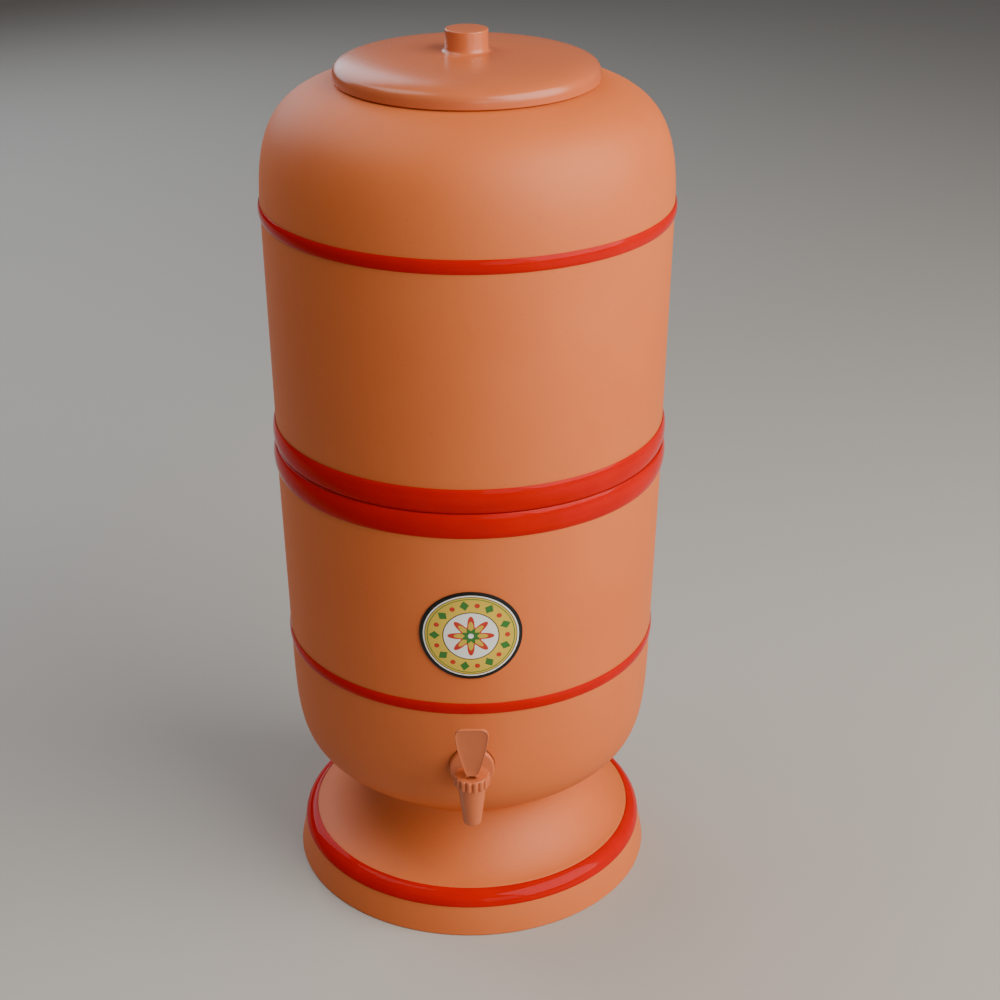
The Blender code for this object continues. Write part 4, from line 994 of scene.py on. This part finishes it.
def cord_outline(top, bottom, bulge, band):
    """Flat back and round front between two (radius, height) points of the wall."""
    run = Vector(bottom) - Vector(top)
    out = Vector((-run.y, run.x)).normalized()
    points = []
    for share in shares(band.steps):
        part = (1 - cos(pi * share)) / 2
        swell = (4 * part * (1 - part)) ** band.roundness
        points.append(tuple(Vector(top) + run * part + out * (GAP + (bulge - GAP) * swell)))
    return points


class FILTER_OT_bands(bpy.types.Operator):
    """Makes the five red relief cords"""

    bl_idname = "filter.bands"
    bl_label = "Red bands"

    def execute(self, context):
        sizes, band = context.scene.filter_vessels, context.scene.filter_bands
        for node, bulge, top, low in (
            ("shoulder_band", band.bulge, None, None),
            ("upper_rim_band", band.joint_bulge, None, JOINT + GAP + band.seam),
            ("lower_rim_band", band.joint_bulge, JOINT - band.seam, None),
            ("waist_band", band.waist_bulge, None, None),
            ("foot_band", band.foot_bulge, None, None),
        ):
            heights = (top or span(node)[1], low or span(node)[0])
            upper, lower = [(wall_radius(sizes, height), height) for height in heights]
            if node == "foot_band":
                upper = (sizes.foot_top_radius, sizes.foot_top_height)
                lower = (sizes.foot_rim_radius, sizes.foot_rim_height)
            outline = cord_outline(upper, lower, bulge, band)
            fit_turned(node, node.replace("band", "cord"), outline, sizes.sides)
        return {"FINISHED"}


class FILTER_OT_lid(bpy.types.Operator):
    """Makes the lid with its knob and skirt"""

    bl_idname = "filter.lid"
    bl_label = "Lid"

    def execute(self, context):
        vessel, lid = context.scene.filter_vessels, context.scene.filter_lid
        skirt_low, knob_top, radius = span("lid")
        radius += lid.overhang
        crown = knob_top - lid.knob_height
        underside = DOME_TOP + GAP
        rim_top = underside + lid.rim
        skirt_outside = vessel.mouth_radius - lid.skirt_clearance
        skirt_inside = skirt_outside - lid.skirt_wall
        rise = (crown - rim_top) * (radius - skirt_inside) / (radius - lid.knob_radius)
        start = (lid.knob_radius + 2 * lid.knob_fillet, crown)
        end = (radius - lid.edge, rim_top + lid.edge * tan(lid.fall))
        end_pull = (end[0] - lid.fall_reach, end[1] + lid.fall_reach * tan(lid.fall))
        outline = [(0.0, knob_top), (lid.knob_radius, knob_top, lid.knob_edge)]
        outline.append((lid.knob_radius, crown, lid.knob_fillet))
        outline += bezier(start, (start[0] + lid.flat, crown), end_pull, end, INSIDE_CURVE)
        outline += [(radius, rim_top, 2 * lid.edge), (radius, underside, SLIM)]
        outline += [(skirt_outside, underside, FINE), (skirt_outside, skirt_low, SOFT)]
        outline += [(skirt_inside, skirt_low, SOFT), (skirt_inside, rim_top + rise - lid.wall, CROWN_EDGE)]
        outline += [(lid.knob_radius, crown - lid.wall, BLUNT), (0.0, crown - lid.wall)]
        fit_turned("lid", "lid_with_knob", outline, vessel.sides)
        return {"FINISHED"}


# Rings of faces on the label's front and back, and the bend of its edge as a share
FRONT_RINGS, BACK_RINGS, EDGE_BEND = 10, 4, 0.3


class FILTER_OT_label(bpy.types.Operator):
    """Makes the printed label on the wall"""

    bl_idname = "filter.label"
    bl_label = "Label"

    def execute(self, context):
        vessel, label = context.scene.filter_vessels, context.scene.filter_label
        middle = centre("front_label").z
        at_wall = wall_radius(vessel, middle)
        edge_share = label.edge / (label.width / 2)
        steps = range(1, FRONT_RINGS + 1)
        rings = [(step / FRONT_RINGS * (1 - edge_share), label.thickness) for step in steps]
        rings.append((1 - edge_share * EDGE_BEND, label.thickness - label.edge * EDGE_BEND))
        rings.append((1.0, label.thickness - label.edge))
        rings += [(step / BACK_RINGS, 0.0) for step in range(BACK_RINGS, 0, -1)]
        form = bmesh.new()
        place = form.verts.layers.float_vector.new("print_place")

        def point(across, up, layer):
            height = middle + up * label.height / 2
            turn = across * label.width / 2 / at_wall
            radius = wall_radius(vessel, height) + GAP + layer
            vert = form.verts.new((radius * sin(turn), VESSEL_AXIS.y - radius * cos(turn), height))
            vert[place] = (across, up, 0.0)
            return vert

        turns = [FULL_TURN * index / LABEL_SIDES for index in range(LABEL_SIDES)]
        made = [[point(size * cos(turn), size * sin(turn), layer) for turn in turns] for size, layer in rings]
        skin(form, made)
        fan(form, made[0], point(0.0, 0.0, label.thickness))
        fan(form, made[-1], point(0.0, 0.0, 0.0))
        fitted(tidied(from_form("badge", form)), "front_label")
        return {"FINISHED"}


class FILTER_OT_tap(bpy.types.Operator):
    """Makes the tap's body and its ribbed bonnet"""

    bl_idname = "filter.tap"
    bl_label = "Tap body and bonnet"

    def execute(self, context):
        tap, lever = context.scene.filter_tap, context.scene.filter_lever
        node, axis = "tap_body", VALVE_AXIS + Vector((0.0, 0.0, SHANK_AXIS.z))
        neck_top = tap.barrel_shoulder + tap.barrel_neck
        barrel = [(0.0, neck_top), (tap.neck_radius, neck_top, FINE), (tap.neck_radius, tap.barrel_shoulder)]
        barrel.append((tap.barrel_radius, tap.barrel_shoulder, FINE))
        barrel += [(tap.spout_radius, -tap.spout_drop, tap.spout_edge), (0.0, -tap.spout_drop)]
        body = turned(node, "tap_spout_and_shank", barrel, tap.sides, axis)
        flange_back = along_shank("tap_outer_washer")[1] + GAP
        flange_front = flange_back + tap.flange_thickness
        shank_end = along_shank("tap_lock_nut")[0] - tap.shank_end
        front = VESSEL_AXIS.y - VALVE_AXIS.y
        shank = [(0.0, front), (tap.shank_neck, front), (tap.shank_neck, flange_front, SOFT)]
        shank += [(tap.flange_radius, flange_front, tap.flange_edge), (tap.flange_radius, flange_back, FINE)]
        shank += [(tap.shank_radius, flange_back), (tap.shank_radius, shank_end), (0.0, shank_end)]
        high = flange_back - tap.thread_pitch
        thread = (tap.shank_radius, shank_end, high, tap.thread_pitch, tap.thread_depth)
        joined = turned(node, "shank_form", shank, tap.sides, SHANK_AXIS, TO_FRONT, thread)
        combined(body, "UNION", joined)
        top, low = neck_top + OVERRUN, -tap.spout_drop - OVERRUN
        chamber = [(0.0, top), (tap.chamber_radius, top), (tap.chamber_radius, -tap.seat_drop)]
        chamber += [(tap.spout_bore, -tap.seat_drop), (tap.spout_bore, low), (0.0, low)]
        hollow = turned(node, "chamber_form", chamber, BORE_SIDES, axis)
        water_way = rod(tap.shank_bore, shank_end - OVERRUN, front)
        bore = turned(node, "bore_form", water_way, BORE_SIDES, SHANK_AXIS, TO_FRONT)
        fitted(combined(body, "DIFFERENCE", hollow, bore), node)

        node = "tap_bonnet"
        low, top, radius = span(node)
        disc_low, disc = top - tap.bonnet_disc, radius - tap.bonnet_inset
        hole = hypot(lever.tongue_width, lever.tongue_depth) / 2 + GAP
        inside = tap.neck_radius + GAP
        ring = [(hole, top, HAIR), (disc, top, tap.bonnet_edge), (disc, disc_low, tap.bonnet_edge)]
        ring += [(tap.bonnet_skirt, disc_low), (tap.bonnet_skirt, low, CRISP)]
        ring += [(inside, low, HAIR), (inside, disc_low), (hole, disc_low)]
        bonnet = turned(node, "tap_ribbed_bonnet", ring, tap.sides, ORIGIN)
        rib_top, thick = top - GAP, tap.bonnet_rib
        rib = [(0.0, rib_top), (thick, rib_top, SMALL), (thick, low, RIB_EDGE), (0.0, low)]
        rib = turned(node, "rib_form", rib, RIB_SIDES, ORIGIN)
        ringed(bonnet, rib, tap.bonnet_ribs, radius - tap.bonnet_rib - WELD, node)
        bonnet.data.transform(Matrix.Translation(VALVE_AXIS))
        fitted(tidied(bonnet), node)
        return {"FINISHED"}


# Right half of the paddle's outline, as shares of its half width and its height: tip, side and top corner
PADDLE_OUTLINE = (
    ((0.0, 0.0), (0.30, 0.0), (0.40, 0.034), (0.475, 0.112)),
    ((0.475, 0.112), (0.69, 0.31), (1.0, 0.68), (1.0, 0.85)),
    ((1.0, 0.85), (1.0, 0.95), (0.84, 1.0), (0.46, 1.0)),
)
# Middle of the paddle's hollow, as a share of its height
HOLLOW_MIDDLE = 0.58


def paddle(lever):
    """Spoon-shaped blade: a raised rim round a dished face, and a rounded back."""
    total = lever.height + lever.foot
    right = [spot for curve in PADDLE_OUTLINE for spot in bezier(*curve, PADDLE_CURVE)[:-1]]
    right.append(PADDLE_OUTLINE[-1][-1])
    flat_top = [(right[-1][0] * part, 1.0) for part in (0.5, 0.0, -0.5)]
    left = [(-across, up) for across, up in reversed(right[1:])]
    outline = [Vector((across * lever.width / 2, up * total)) for across, up in right + flat_top + left]
    runs = [after - before for before, after in zip(outline[-1:] + outline[:-1], outline[1:] + outline[:1])]
    inward = [Vector((-run.y, run.x)).normalized() for run in runs]
    middle = Vector((0.0, total * HOLLOW_MIDDLE))
    rim, dish, thick, half = lever.rim, lever.dish, lever.thickness, lever.thickness / 2
    front = [(0.0, half), (rim * 0.10, half * 0.55), (rim * 0.30, half * 0.18), (rim * 0.55, 0.0)]
    front += [(rim * 0.80, dish * 0.25), (rim * 1.1, dish * 0.85), (rim * 1.35, dish)]
    back = [(rim * 0.10, half * 1.45), (rim * 0.35, half * 1.82), (rim * 0.9, thick)]
    form = bmesh.new()

    def point(flat, depth):
        front = lever.offset + flat.y * tan(lever.lean) - depth
        return form.verts.new((flat.x, -front, flat.y - lever.foot))

    def ring(inset, depth):
        return [point(spot + way * inset, depth) for spot, way in zip(outline, inward)]

    face = [ring(inset, depth) for inset, depth in front]
    inner = [spot + way * front[-1][0] for spot, way in zip(outline, inward)]
    for size in (0.75, 0.5, 0.25):
        sunk = dish + lever.hollow * (1 - size * size)
        face.append([point(middle + (spot - middle) * size, sunk) for spot in inner])
    rear = [face[0]] + [ring(inset, depth) for inset, depth in back]
    for rings, depth in ((face, dish + lever.hollow), (rear, thick)):
        skin(form, rings)
        fan(form, rings[-1], point(middle, depth))
    item = from_form("paddle_form", form)
    item.data.transform(Matrix.Translation(PIN_CENTRE))
    item.data.materials.append(finish_for(SLOTS["tap_lever"]))
    return item


def lever_foot(lever):
    """Side of the cam lugs as (front, up) from the pin; the heel is a cam that lifts the pin."""
    rest = lever.pin_lift - GAP
    rate = lever.travel / lever.swing
    outline = []
    for turn in [lever.swing * index / HEEL_STEPS for index in range(HEEL_STEPS + 1)]:
        far = rest + rate * turn
        outline.append((far * sin(turn) + rate * cos(turn), rate * sin(turn) - far * cos(turn)))
    outline += [(lever.offset - lever.thickness / 2, lever.crotch), (lever.offset, 2 * lever.pin_lift)]
    outline.append((0.0, lever.crotch + lever.thickness))
    return outline + [(-rest * sin(pi * part), rest * cos(pi * part)) for part in shares(HEEL_STEPS)]


def pin_cutter(node, lever):
    """A rod a little wider than the pin, which cuts its hole."""
    width = lever.tongue_width / 2 + GAP + lever.lug + OVERRUN
    shape = rod(lever.pin_radius + GAP, -width, width)
    return turned(node, "pin_form", shape, PIN_SIDES, PIN_CENTRE, TO_SIDE)


class FILTER_OT_lever(bpy.types.Operator):
    """Makes the tap's lever"""

    bl_idname = "filter.lever"
    bl_label = "Tap lever"

    def execute(self, context):
        lever, node = context.scene.filter_lever, "tap_lever"
        blade = paddle(lever)
        blade.name = "tap_spoon_lever"
        tongue = lever.tongue_width / 2 + GAP
        lugs = extruded(node, "lug_form", lever_foot(lever), tongue + lever.lug)
        bevel = lugs.modifiers.new("edge", "BEVEL")
        bevel.width = lever.edge
        bevel.segments = 2
        bevel.angle_limit = radians(60)
        combined(blade, "UNION", baked(lugs))
        far, back, web_low = lever.offset + OVERRUN, lever.offset - lever.thickness, -GAP - lever.foot
        gap = [(-far, -far), (far, -far), (far, web_low), (back, web_low), (back, lever.crotch)]
        gap += [(lever.pin_radius, lever.crotch), (lever.pin_radius, far), (-far, far)]
        fork = extruded(node, "fork_form", gap, tongue)
        fitted(combined(blade, "DIFFERENCE", fork, pin_cutter(node, lever)), node)
        return {"FINISHED"}


class FILTER_OT_valve(bpy.types.Operator):
    """Makes the tap's stem, seat cup, spring and pin"""

    bl_idname = "filter.valve"
    bl_label = "Tap valve"

    def execute(self, context):
        lever, valve = context.scene.filter_lever, context.scene.filter_valve
        spring_low, top, spring_radius = span("tap_spring")
        round_radius = hypot(lever.tongue_width, lever.tongue_depth) / 2
        round_top = span("tap_bonnet")[1] - lever.travel
        collar_top = spring_low - GAP
        collar_low = collar_top - valve.collar
        tip_low = span("tap_stem")[0]
        outline = [(0.0, round_top), (round_radius, round_top, HAIR), (round_radius, collar_top)]
        outline += [(valve.collar_radius, collar_top, HAIR), (valve.collar_radius, collar_low, HAIR)]
        outline += [(valve.tip_radius, collar_low), (valve.tip_radius, tip_low, CRISP), (0.0, tip_low)]
        stem = turned("tap_stem", "tap_valve_stem", outline, valve.sides, VALVE_AXIS)
        half = lever.tongue_depth / 2
        low = round_top - PIN_CENTRE.z - lever.travel / 2
        turns = [pi * index / RIB_SIDES for index in range(RIB_SIDES + 1)]
        tongue = [(half, low)] + [(half * cos(turn), half * sin(turn)) for turn in turns] + [(-half, low)]
        combined(stem, "UNION", extruded("tap_stem", "tongue_form", tongue, lever.tongue_width / 2))
        fitted(combined(stem, "DIFFERENCE", pin_cutter("tap_stem", lever)), "tap_stem")

        low, cup_top, wide = span("tap_seat_cup")
        socket, taper = valve.tip_radius + GAP, valve.cup_taper
        cup = [(socket, cup_top, HAIR), (wide - taper, cup_top, FINE), (wide, low + taper, SOFT)]
        cup += [(wide, low, FINE), (0.0, low), (0.0, tip_low - GAP), (socket, tip_low - GAP)]
        fit_turned("tap_seat_cup", "tap_soft_cup", cup, valve.sides, VALVE_AXIS)

        wire, height = valve.wire_radius, top - spring_low
        spring = linked("tap_coil_spring", bpy.data.meshes.new("tap_coil_spring"))
        values = {"Turns": float(valve.coils), "Coil Radius": spring_radius - wire, "Wire Radius": wire}
        values.update({"Steps": COIL_STEPS * valve.coils, "Height": height - 2 * wire})
        shaped(spring, "coil", {**values, "Finish": finish_for(SLOTS["tap_spring"])})
        spring.data.transform(Matrix.Translation(VALVE_AXIS + Vector((0.0, 0.0, spring_low + wire))))
        fitted(tidied(spring), "tap_spring")
        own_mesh(spring)

        half = span("tap_lever_pin")[2]
        pin = rod(lever.pin_radius, -half, half, HAIR)
        fit_turned("tap_lever_pin", "tap_cross_pin", pin, PIN_SIDES, PIN_CENTRE, TO_SIDE)
        return {"FINISHED"}


# Chamfer of a nut in shares of its corners' radius: flat face, widest reach and slant
NUT_CHAMFER = (0.86, 1.02, 0.1)


def hex_nut(node, name, bore, ends, place, turn):
    """A chamfered hexagon nut in the place of its node."""
    low, high = ends
    corner = span(node)[2]
    blank = turned(node, name, rod(corner, low, high), 6, place, turn)
    flat, wide, slant = [corner * share for share in NUT_CHAMFER]
    chamfer = [(0.0, high), (flat, high), (wide, high - slant), (wide, low + slant), (flat, low), (0.0, low)]
    combined(blank, "INTERSECT", turned(node, name + "_blank", chamfer, PLATE_SIDES, place, turn))
    hole = turned(node, name + "_hole", rod(bore, low - OVERRUN, high + OVERRUN), HOLE_SIDES, place, turn)
    fitted(combined(blank, "DIFFERENCE", hole), node)


TAP_SEALS = {"tap_outer_washer": "tap_front_seal", "tap_inner_washer": "tap_rear_seal"}


class FILTER_OT_tap_fastening(bpy.types.Operator):
    """Makes the tap's two washers and its lock nut"""

    bl_idname = "filter.tap_fastening"
    bl_label = "Tap washers and nut"

    def execute(self, context):
        hole = context.scene.filter_tap.shank_radius + GAP
        for node, name in TAP_SEALS.items():
            seal = tube(hole, span(node)[2], *along_shank(node), FINE)
            fit_turned(node, name, seal, PLATE_SIDES, SHANK_AXIS, TO_FRONT)
        hex_nut("tap_lock_nut", "tap_back_nut", hole, along_shank("tap_lock_nut"), SHANK_AXIS, TO_FRONT)
        return {"FINISHED"}


def dome(radius, top, steps):
    """A quarter round from the axis at the top out to the full radius."""
    turns = [pi / 2 * share for share in shares(steps)]
    return [(radius * sin(turn), top - radius * (1 - cos(turn))) for turn in turns]


CANDLE_SEALS = {"candle_washer": "candle_top_seal", "candle_under_washer": "candle_lower_seal"}


class FILTER_OT_candle(bpy.types.Operator):
    """Makes the candle, its core, base, washers and nut"""

    bl_idname = "filter.candle"
    bl_label = "Candle"

    def execute(self, context):
        sizes = context.scene.filter_candle
        low, top, radius = span("candle_shell")
        cavity = radius - sizes.wall
        shell = dome(radius, top, 20) + [(radius, low, SMALL), (cavity, low, FINE)]
        shell += dome(cavity, top - sizes.wall, 16)[::-1]
        fit_turned("candle_shell", "candle_body", shell, sizes.sides)
        low, top, radius = span("candle_carbon_core")
        core = tube(sizes.stem_radius, radius, low, top, SOFT)
        fit_turned("candle_carbon_core", "carbon_block", core, sizes.sides)
        stem_low, plug_top, radius = span("candle_base")
        base_low = span("candle_washer")[1] + GAP
        base_top, plug = base_low + sizes.base, cavity - GAP
        base = [(sizes.stem_bore, plug_top), (plug, plug_top, SMALL), (plug, base_top, CRISP)]
        base += [(radius, base_top, SOFT), (radius, base_low, BLUNT)]
        base += [(sizes.stem_radius, base_low), (sizes.stem_radius, stem_low), (sizes.stem_bore, stem_low)]
        thread = (sizes.stem_radius, stem_low, base_low - GAP, sizes.thread_pitch, sizes.thread_depth)
        fit_turned("candle_base", "candle_foot_and_stem", base, sizes.sides, thread=thread)
        hole = sizes.stem_radius + GAP
        for node, name in CANDLE_SEALS.items():
            low, top, radius = span(node)
            fit_turned(node, name, tube(hole, radius, low, top, SLIM), sizes.sides)
        hex_nut("candle_nut", "candle_hex_nut", hole, span("candle_nut")[:2], VESSEL_AXIS, UPRIGHT)
        return {"FINISHED"}


class FILTER_OT_float_valve(bpy.types.Operator):
    """Makes the float valve's cage, float and stopper"""

    bl_idname = "filter.float_valve"
    bl_label = "Float valve"

    def execute(self, context):
        sizes, node = context.scene.filter_candle, "float_valve_body"
        low, top, radius = span(node)
        float_low, boss_top, wide = span("float")
        socket, bore, nozzle = sizes.stem_radius + GAP, sizes.stem_bore, sizes.nozzle_radius
        plate_top = top - sizes.hub_socket - GAP
        plate_low = plate_top - sizes.cage_plate
        nozzle_low = plate_low - sizes.nozzle_length
        hub = [(socket, top, CRISP), (sizes.hub_radius, top, SMALL), (sizes.hub_radius, plate_top, BLUNT)]
        hub += [(radius, plate_top, SMALL), (radius, plate_low, SMALL), (nozzle, plate_low, SMALL)]
        hub += [(nozzle, nozzle_low, SLIM), (bore, nozzle_low, HAIR), (bore, plate_top), (socket, plate_top)]
        cage = turned(node, "float_cage", hub, sizes.sides, ORIGIN)
        ledge = tube(wide - sizes.cage_ledge, radius, low, low + sizes.cage_plate, SMALL)
        combined(cage, "UNION", turned(node, "ring_form", ledge, sizes.sides, ORIGIN))
        middle = sizes.cage_plate / 2
        post = rod(sizes.cage_post, low + middle, plate_low + middle)
        post = turned(node, "post_form", post, POST_SIDES, ORIGIN)
        ringed(cage, post, sizes.cage_posts, radius - GAP - sizes.cage_post, node)
        cage.data.transform(Matrix.Translation(VESSEL_AXIS))
        fitted(tidied(cage), node)

        stopper_low, stopper_top, stopper = span("float_stopper")
        boss, recess = stopper + sizes.boss_wall, stopper + GAP
        float_top, recess_low = boss_top - sizes.float_boss, boss_top - sizes.stopper_recess
        drum = [(0.0, recess_low), (recess, recess_low), (recess, boss_top, HAIR), (boss, boss_top, FINE)]
        drum += [(boss, float_top, SOFT), (wide, float_top, sizes.float_edge)]
        drum += [(wide, float_low, sizes.float_edge), (0.0, float_low)]
        fit_turned("float", "float_drum", drum, sizes.sides)
        stopper = rod(stopper, stopper_low, stopper_top, FINE)
        fit_turned("float_stopper", "float_soft_stopper", stopper, BORE_SIDES)
        return {"FINISHED"}


CAMERA_PLACE = (0.0, -1.036046, 0.744)
CAMERA_PITCH = radians(90 - 25.657)
CAMERA_YAW = radians(-0.983)
TARGET = Vector((0.0, 0.0, 0.26))
# Each light's place, width, height and tint
LIGHTS = {
    "key": ((1.06, -0.60, 1.02), 1.5, 1.4, (1.0, 0.965, 0.92)),
    "window": ((-1.15, 1.60, 1.32), 1.9, 1.5, (0.76, 0.86, 1.0)),
    "front": ((0.45, -1.4, 0.60), 0.6, 0.6, (1.0, 0.98, 0.96)),
    "top": ((-0.75, 0.05, 1.55), 0.8, 0.8, (1.0, 0.98, 0.96)),
}


class FILTER_OT_stage(bpy.types.Operator):
    """Makes the floor, the lights and the camera"""

    bl_idname = "filter.stage"
    bl_label = "Stage"

    def execute(self, context):
        scene = context.scene
        stage = scene.filter_stage
        form = bmesh.new()
        bmesh.ops.create_circle(form, cap_ends=True, segments=PLATE_SIDES, radius=stage.floor_radius)
        floor = from_form("floor", form)
        floor.data.materials.append(floor_paint())
        for name, (place, width, height, tint) in LIGHTS.items():
            light = bpy.data.lights.new(name + "_light", "AREA")
            light.shape = "RECTANGLE"
            light.size, light.size_y, light.energy, light.color = width, height, getattr(stage, name), tint
            lamp = linked(light.name, light)
            lamp.location = place
            lamp.rotation_euler = (TARGET - Vector(place)).to_track_quat("-Z", "Y").to_euler()
        world = bpy.data.worlds.new("even_light")
        world.use_nodes = True
        backdrop = world.node_tree.nodes["Background"]
        backdrop.inputs["Color"].default_value = (0.93, 0.94, 1.0, 1.0)
        backdrop.inputs["Strength"].default_value = stage.world
        scene.world = world
        scene.view_settings.view_transform = "AgX"
        camera = linked("camera", bpy.data.cameras.new("camera"))
        camera.data.lens = stage.lens
        camera.data.sensor_width = 36.0
        camera.data.clip_start = 0.01
        camera.location = CAMERA_PLACE
        camera.rotation_euler = (CAMERA_PITCH, 0.0, CAMERA_YAW)
        scene.camera = camera
        return {"FINISHED"}


GROUPS = {
    "filter_vessels": VesselSizes,
    "filter_bands": BandSizes,
    "filter_lid": LidSizes,
    "filter_label": LabelSizes,
    "filter_tap": TapSizes,
    "filter_lever": LeverSizes,
    "filter_valve": ValveSizes,
    "filter_candle": CandleSizes,
    "filter_colours": Colours,
    "filter_stage": StageSettings,
}
OPERATORS = (
    FILTER_OT_vessels, FILTER_OT_bands, FILTER_OT_lid, FILTER_OT_label, FILTER_OT_tap, FILTER_OT_lever,
    FILTER_OT_valve, FILTER_OT_tap_fastening, FILTER_OT_candle, FILTER_OT_float_valve, FILTER_OT_stage,
)


class FILTER_PT_panel(bpy.types.Panel):
    """Lists the filter's pieces with their sizes and colours"""

    bl_idname = "FILTER_PT_panel"
    bl_label = "Clay water filter"
    bl_space_type = "VIEW_3D"
    bl_region_type = "UI"
    bl_category = "Filter"

    def draw(self, context):
        for operator in OPERATORS:
            self.layout.operator(operator.bl_idname)
        for name, group in GROUPS.items():
            column = self.layout.box()
            column.label(text=group.__doc__.rstrip("."))
            for setting in group.__annotations__:
                column.prop(getattr(context.scene, name), setting)


def register():
    for name, group in GROUPS.items():
        bpy.utils.register_class(group)
        setattr(bpy.types.Scene, name, PointerProperty(type=group))
    for kind in (*OPERATORS, FILTER_PT_panel):
        bpy.utils.register_class(kind)


def unregister():
    for kind in (FILTER_PT_panel, *reversed(OPERATORS)):
        bpy.utils.unregister_class(kind)
    for name, group in reversed(GROUPS.items()):
        delattr(bpy.types.Scene, name)
        bpy.utils.unregister_class(group)


def main():
    register()
    for operator in OPERATORS:
        family, action = operator.bl_idname.split(".")
        getattr(getattr(bpy.ops, family), action)()


if __name__ == "__main__":
    main()
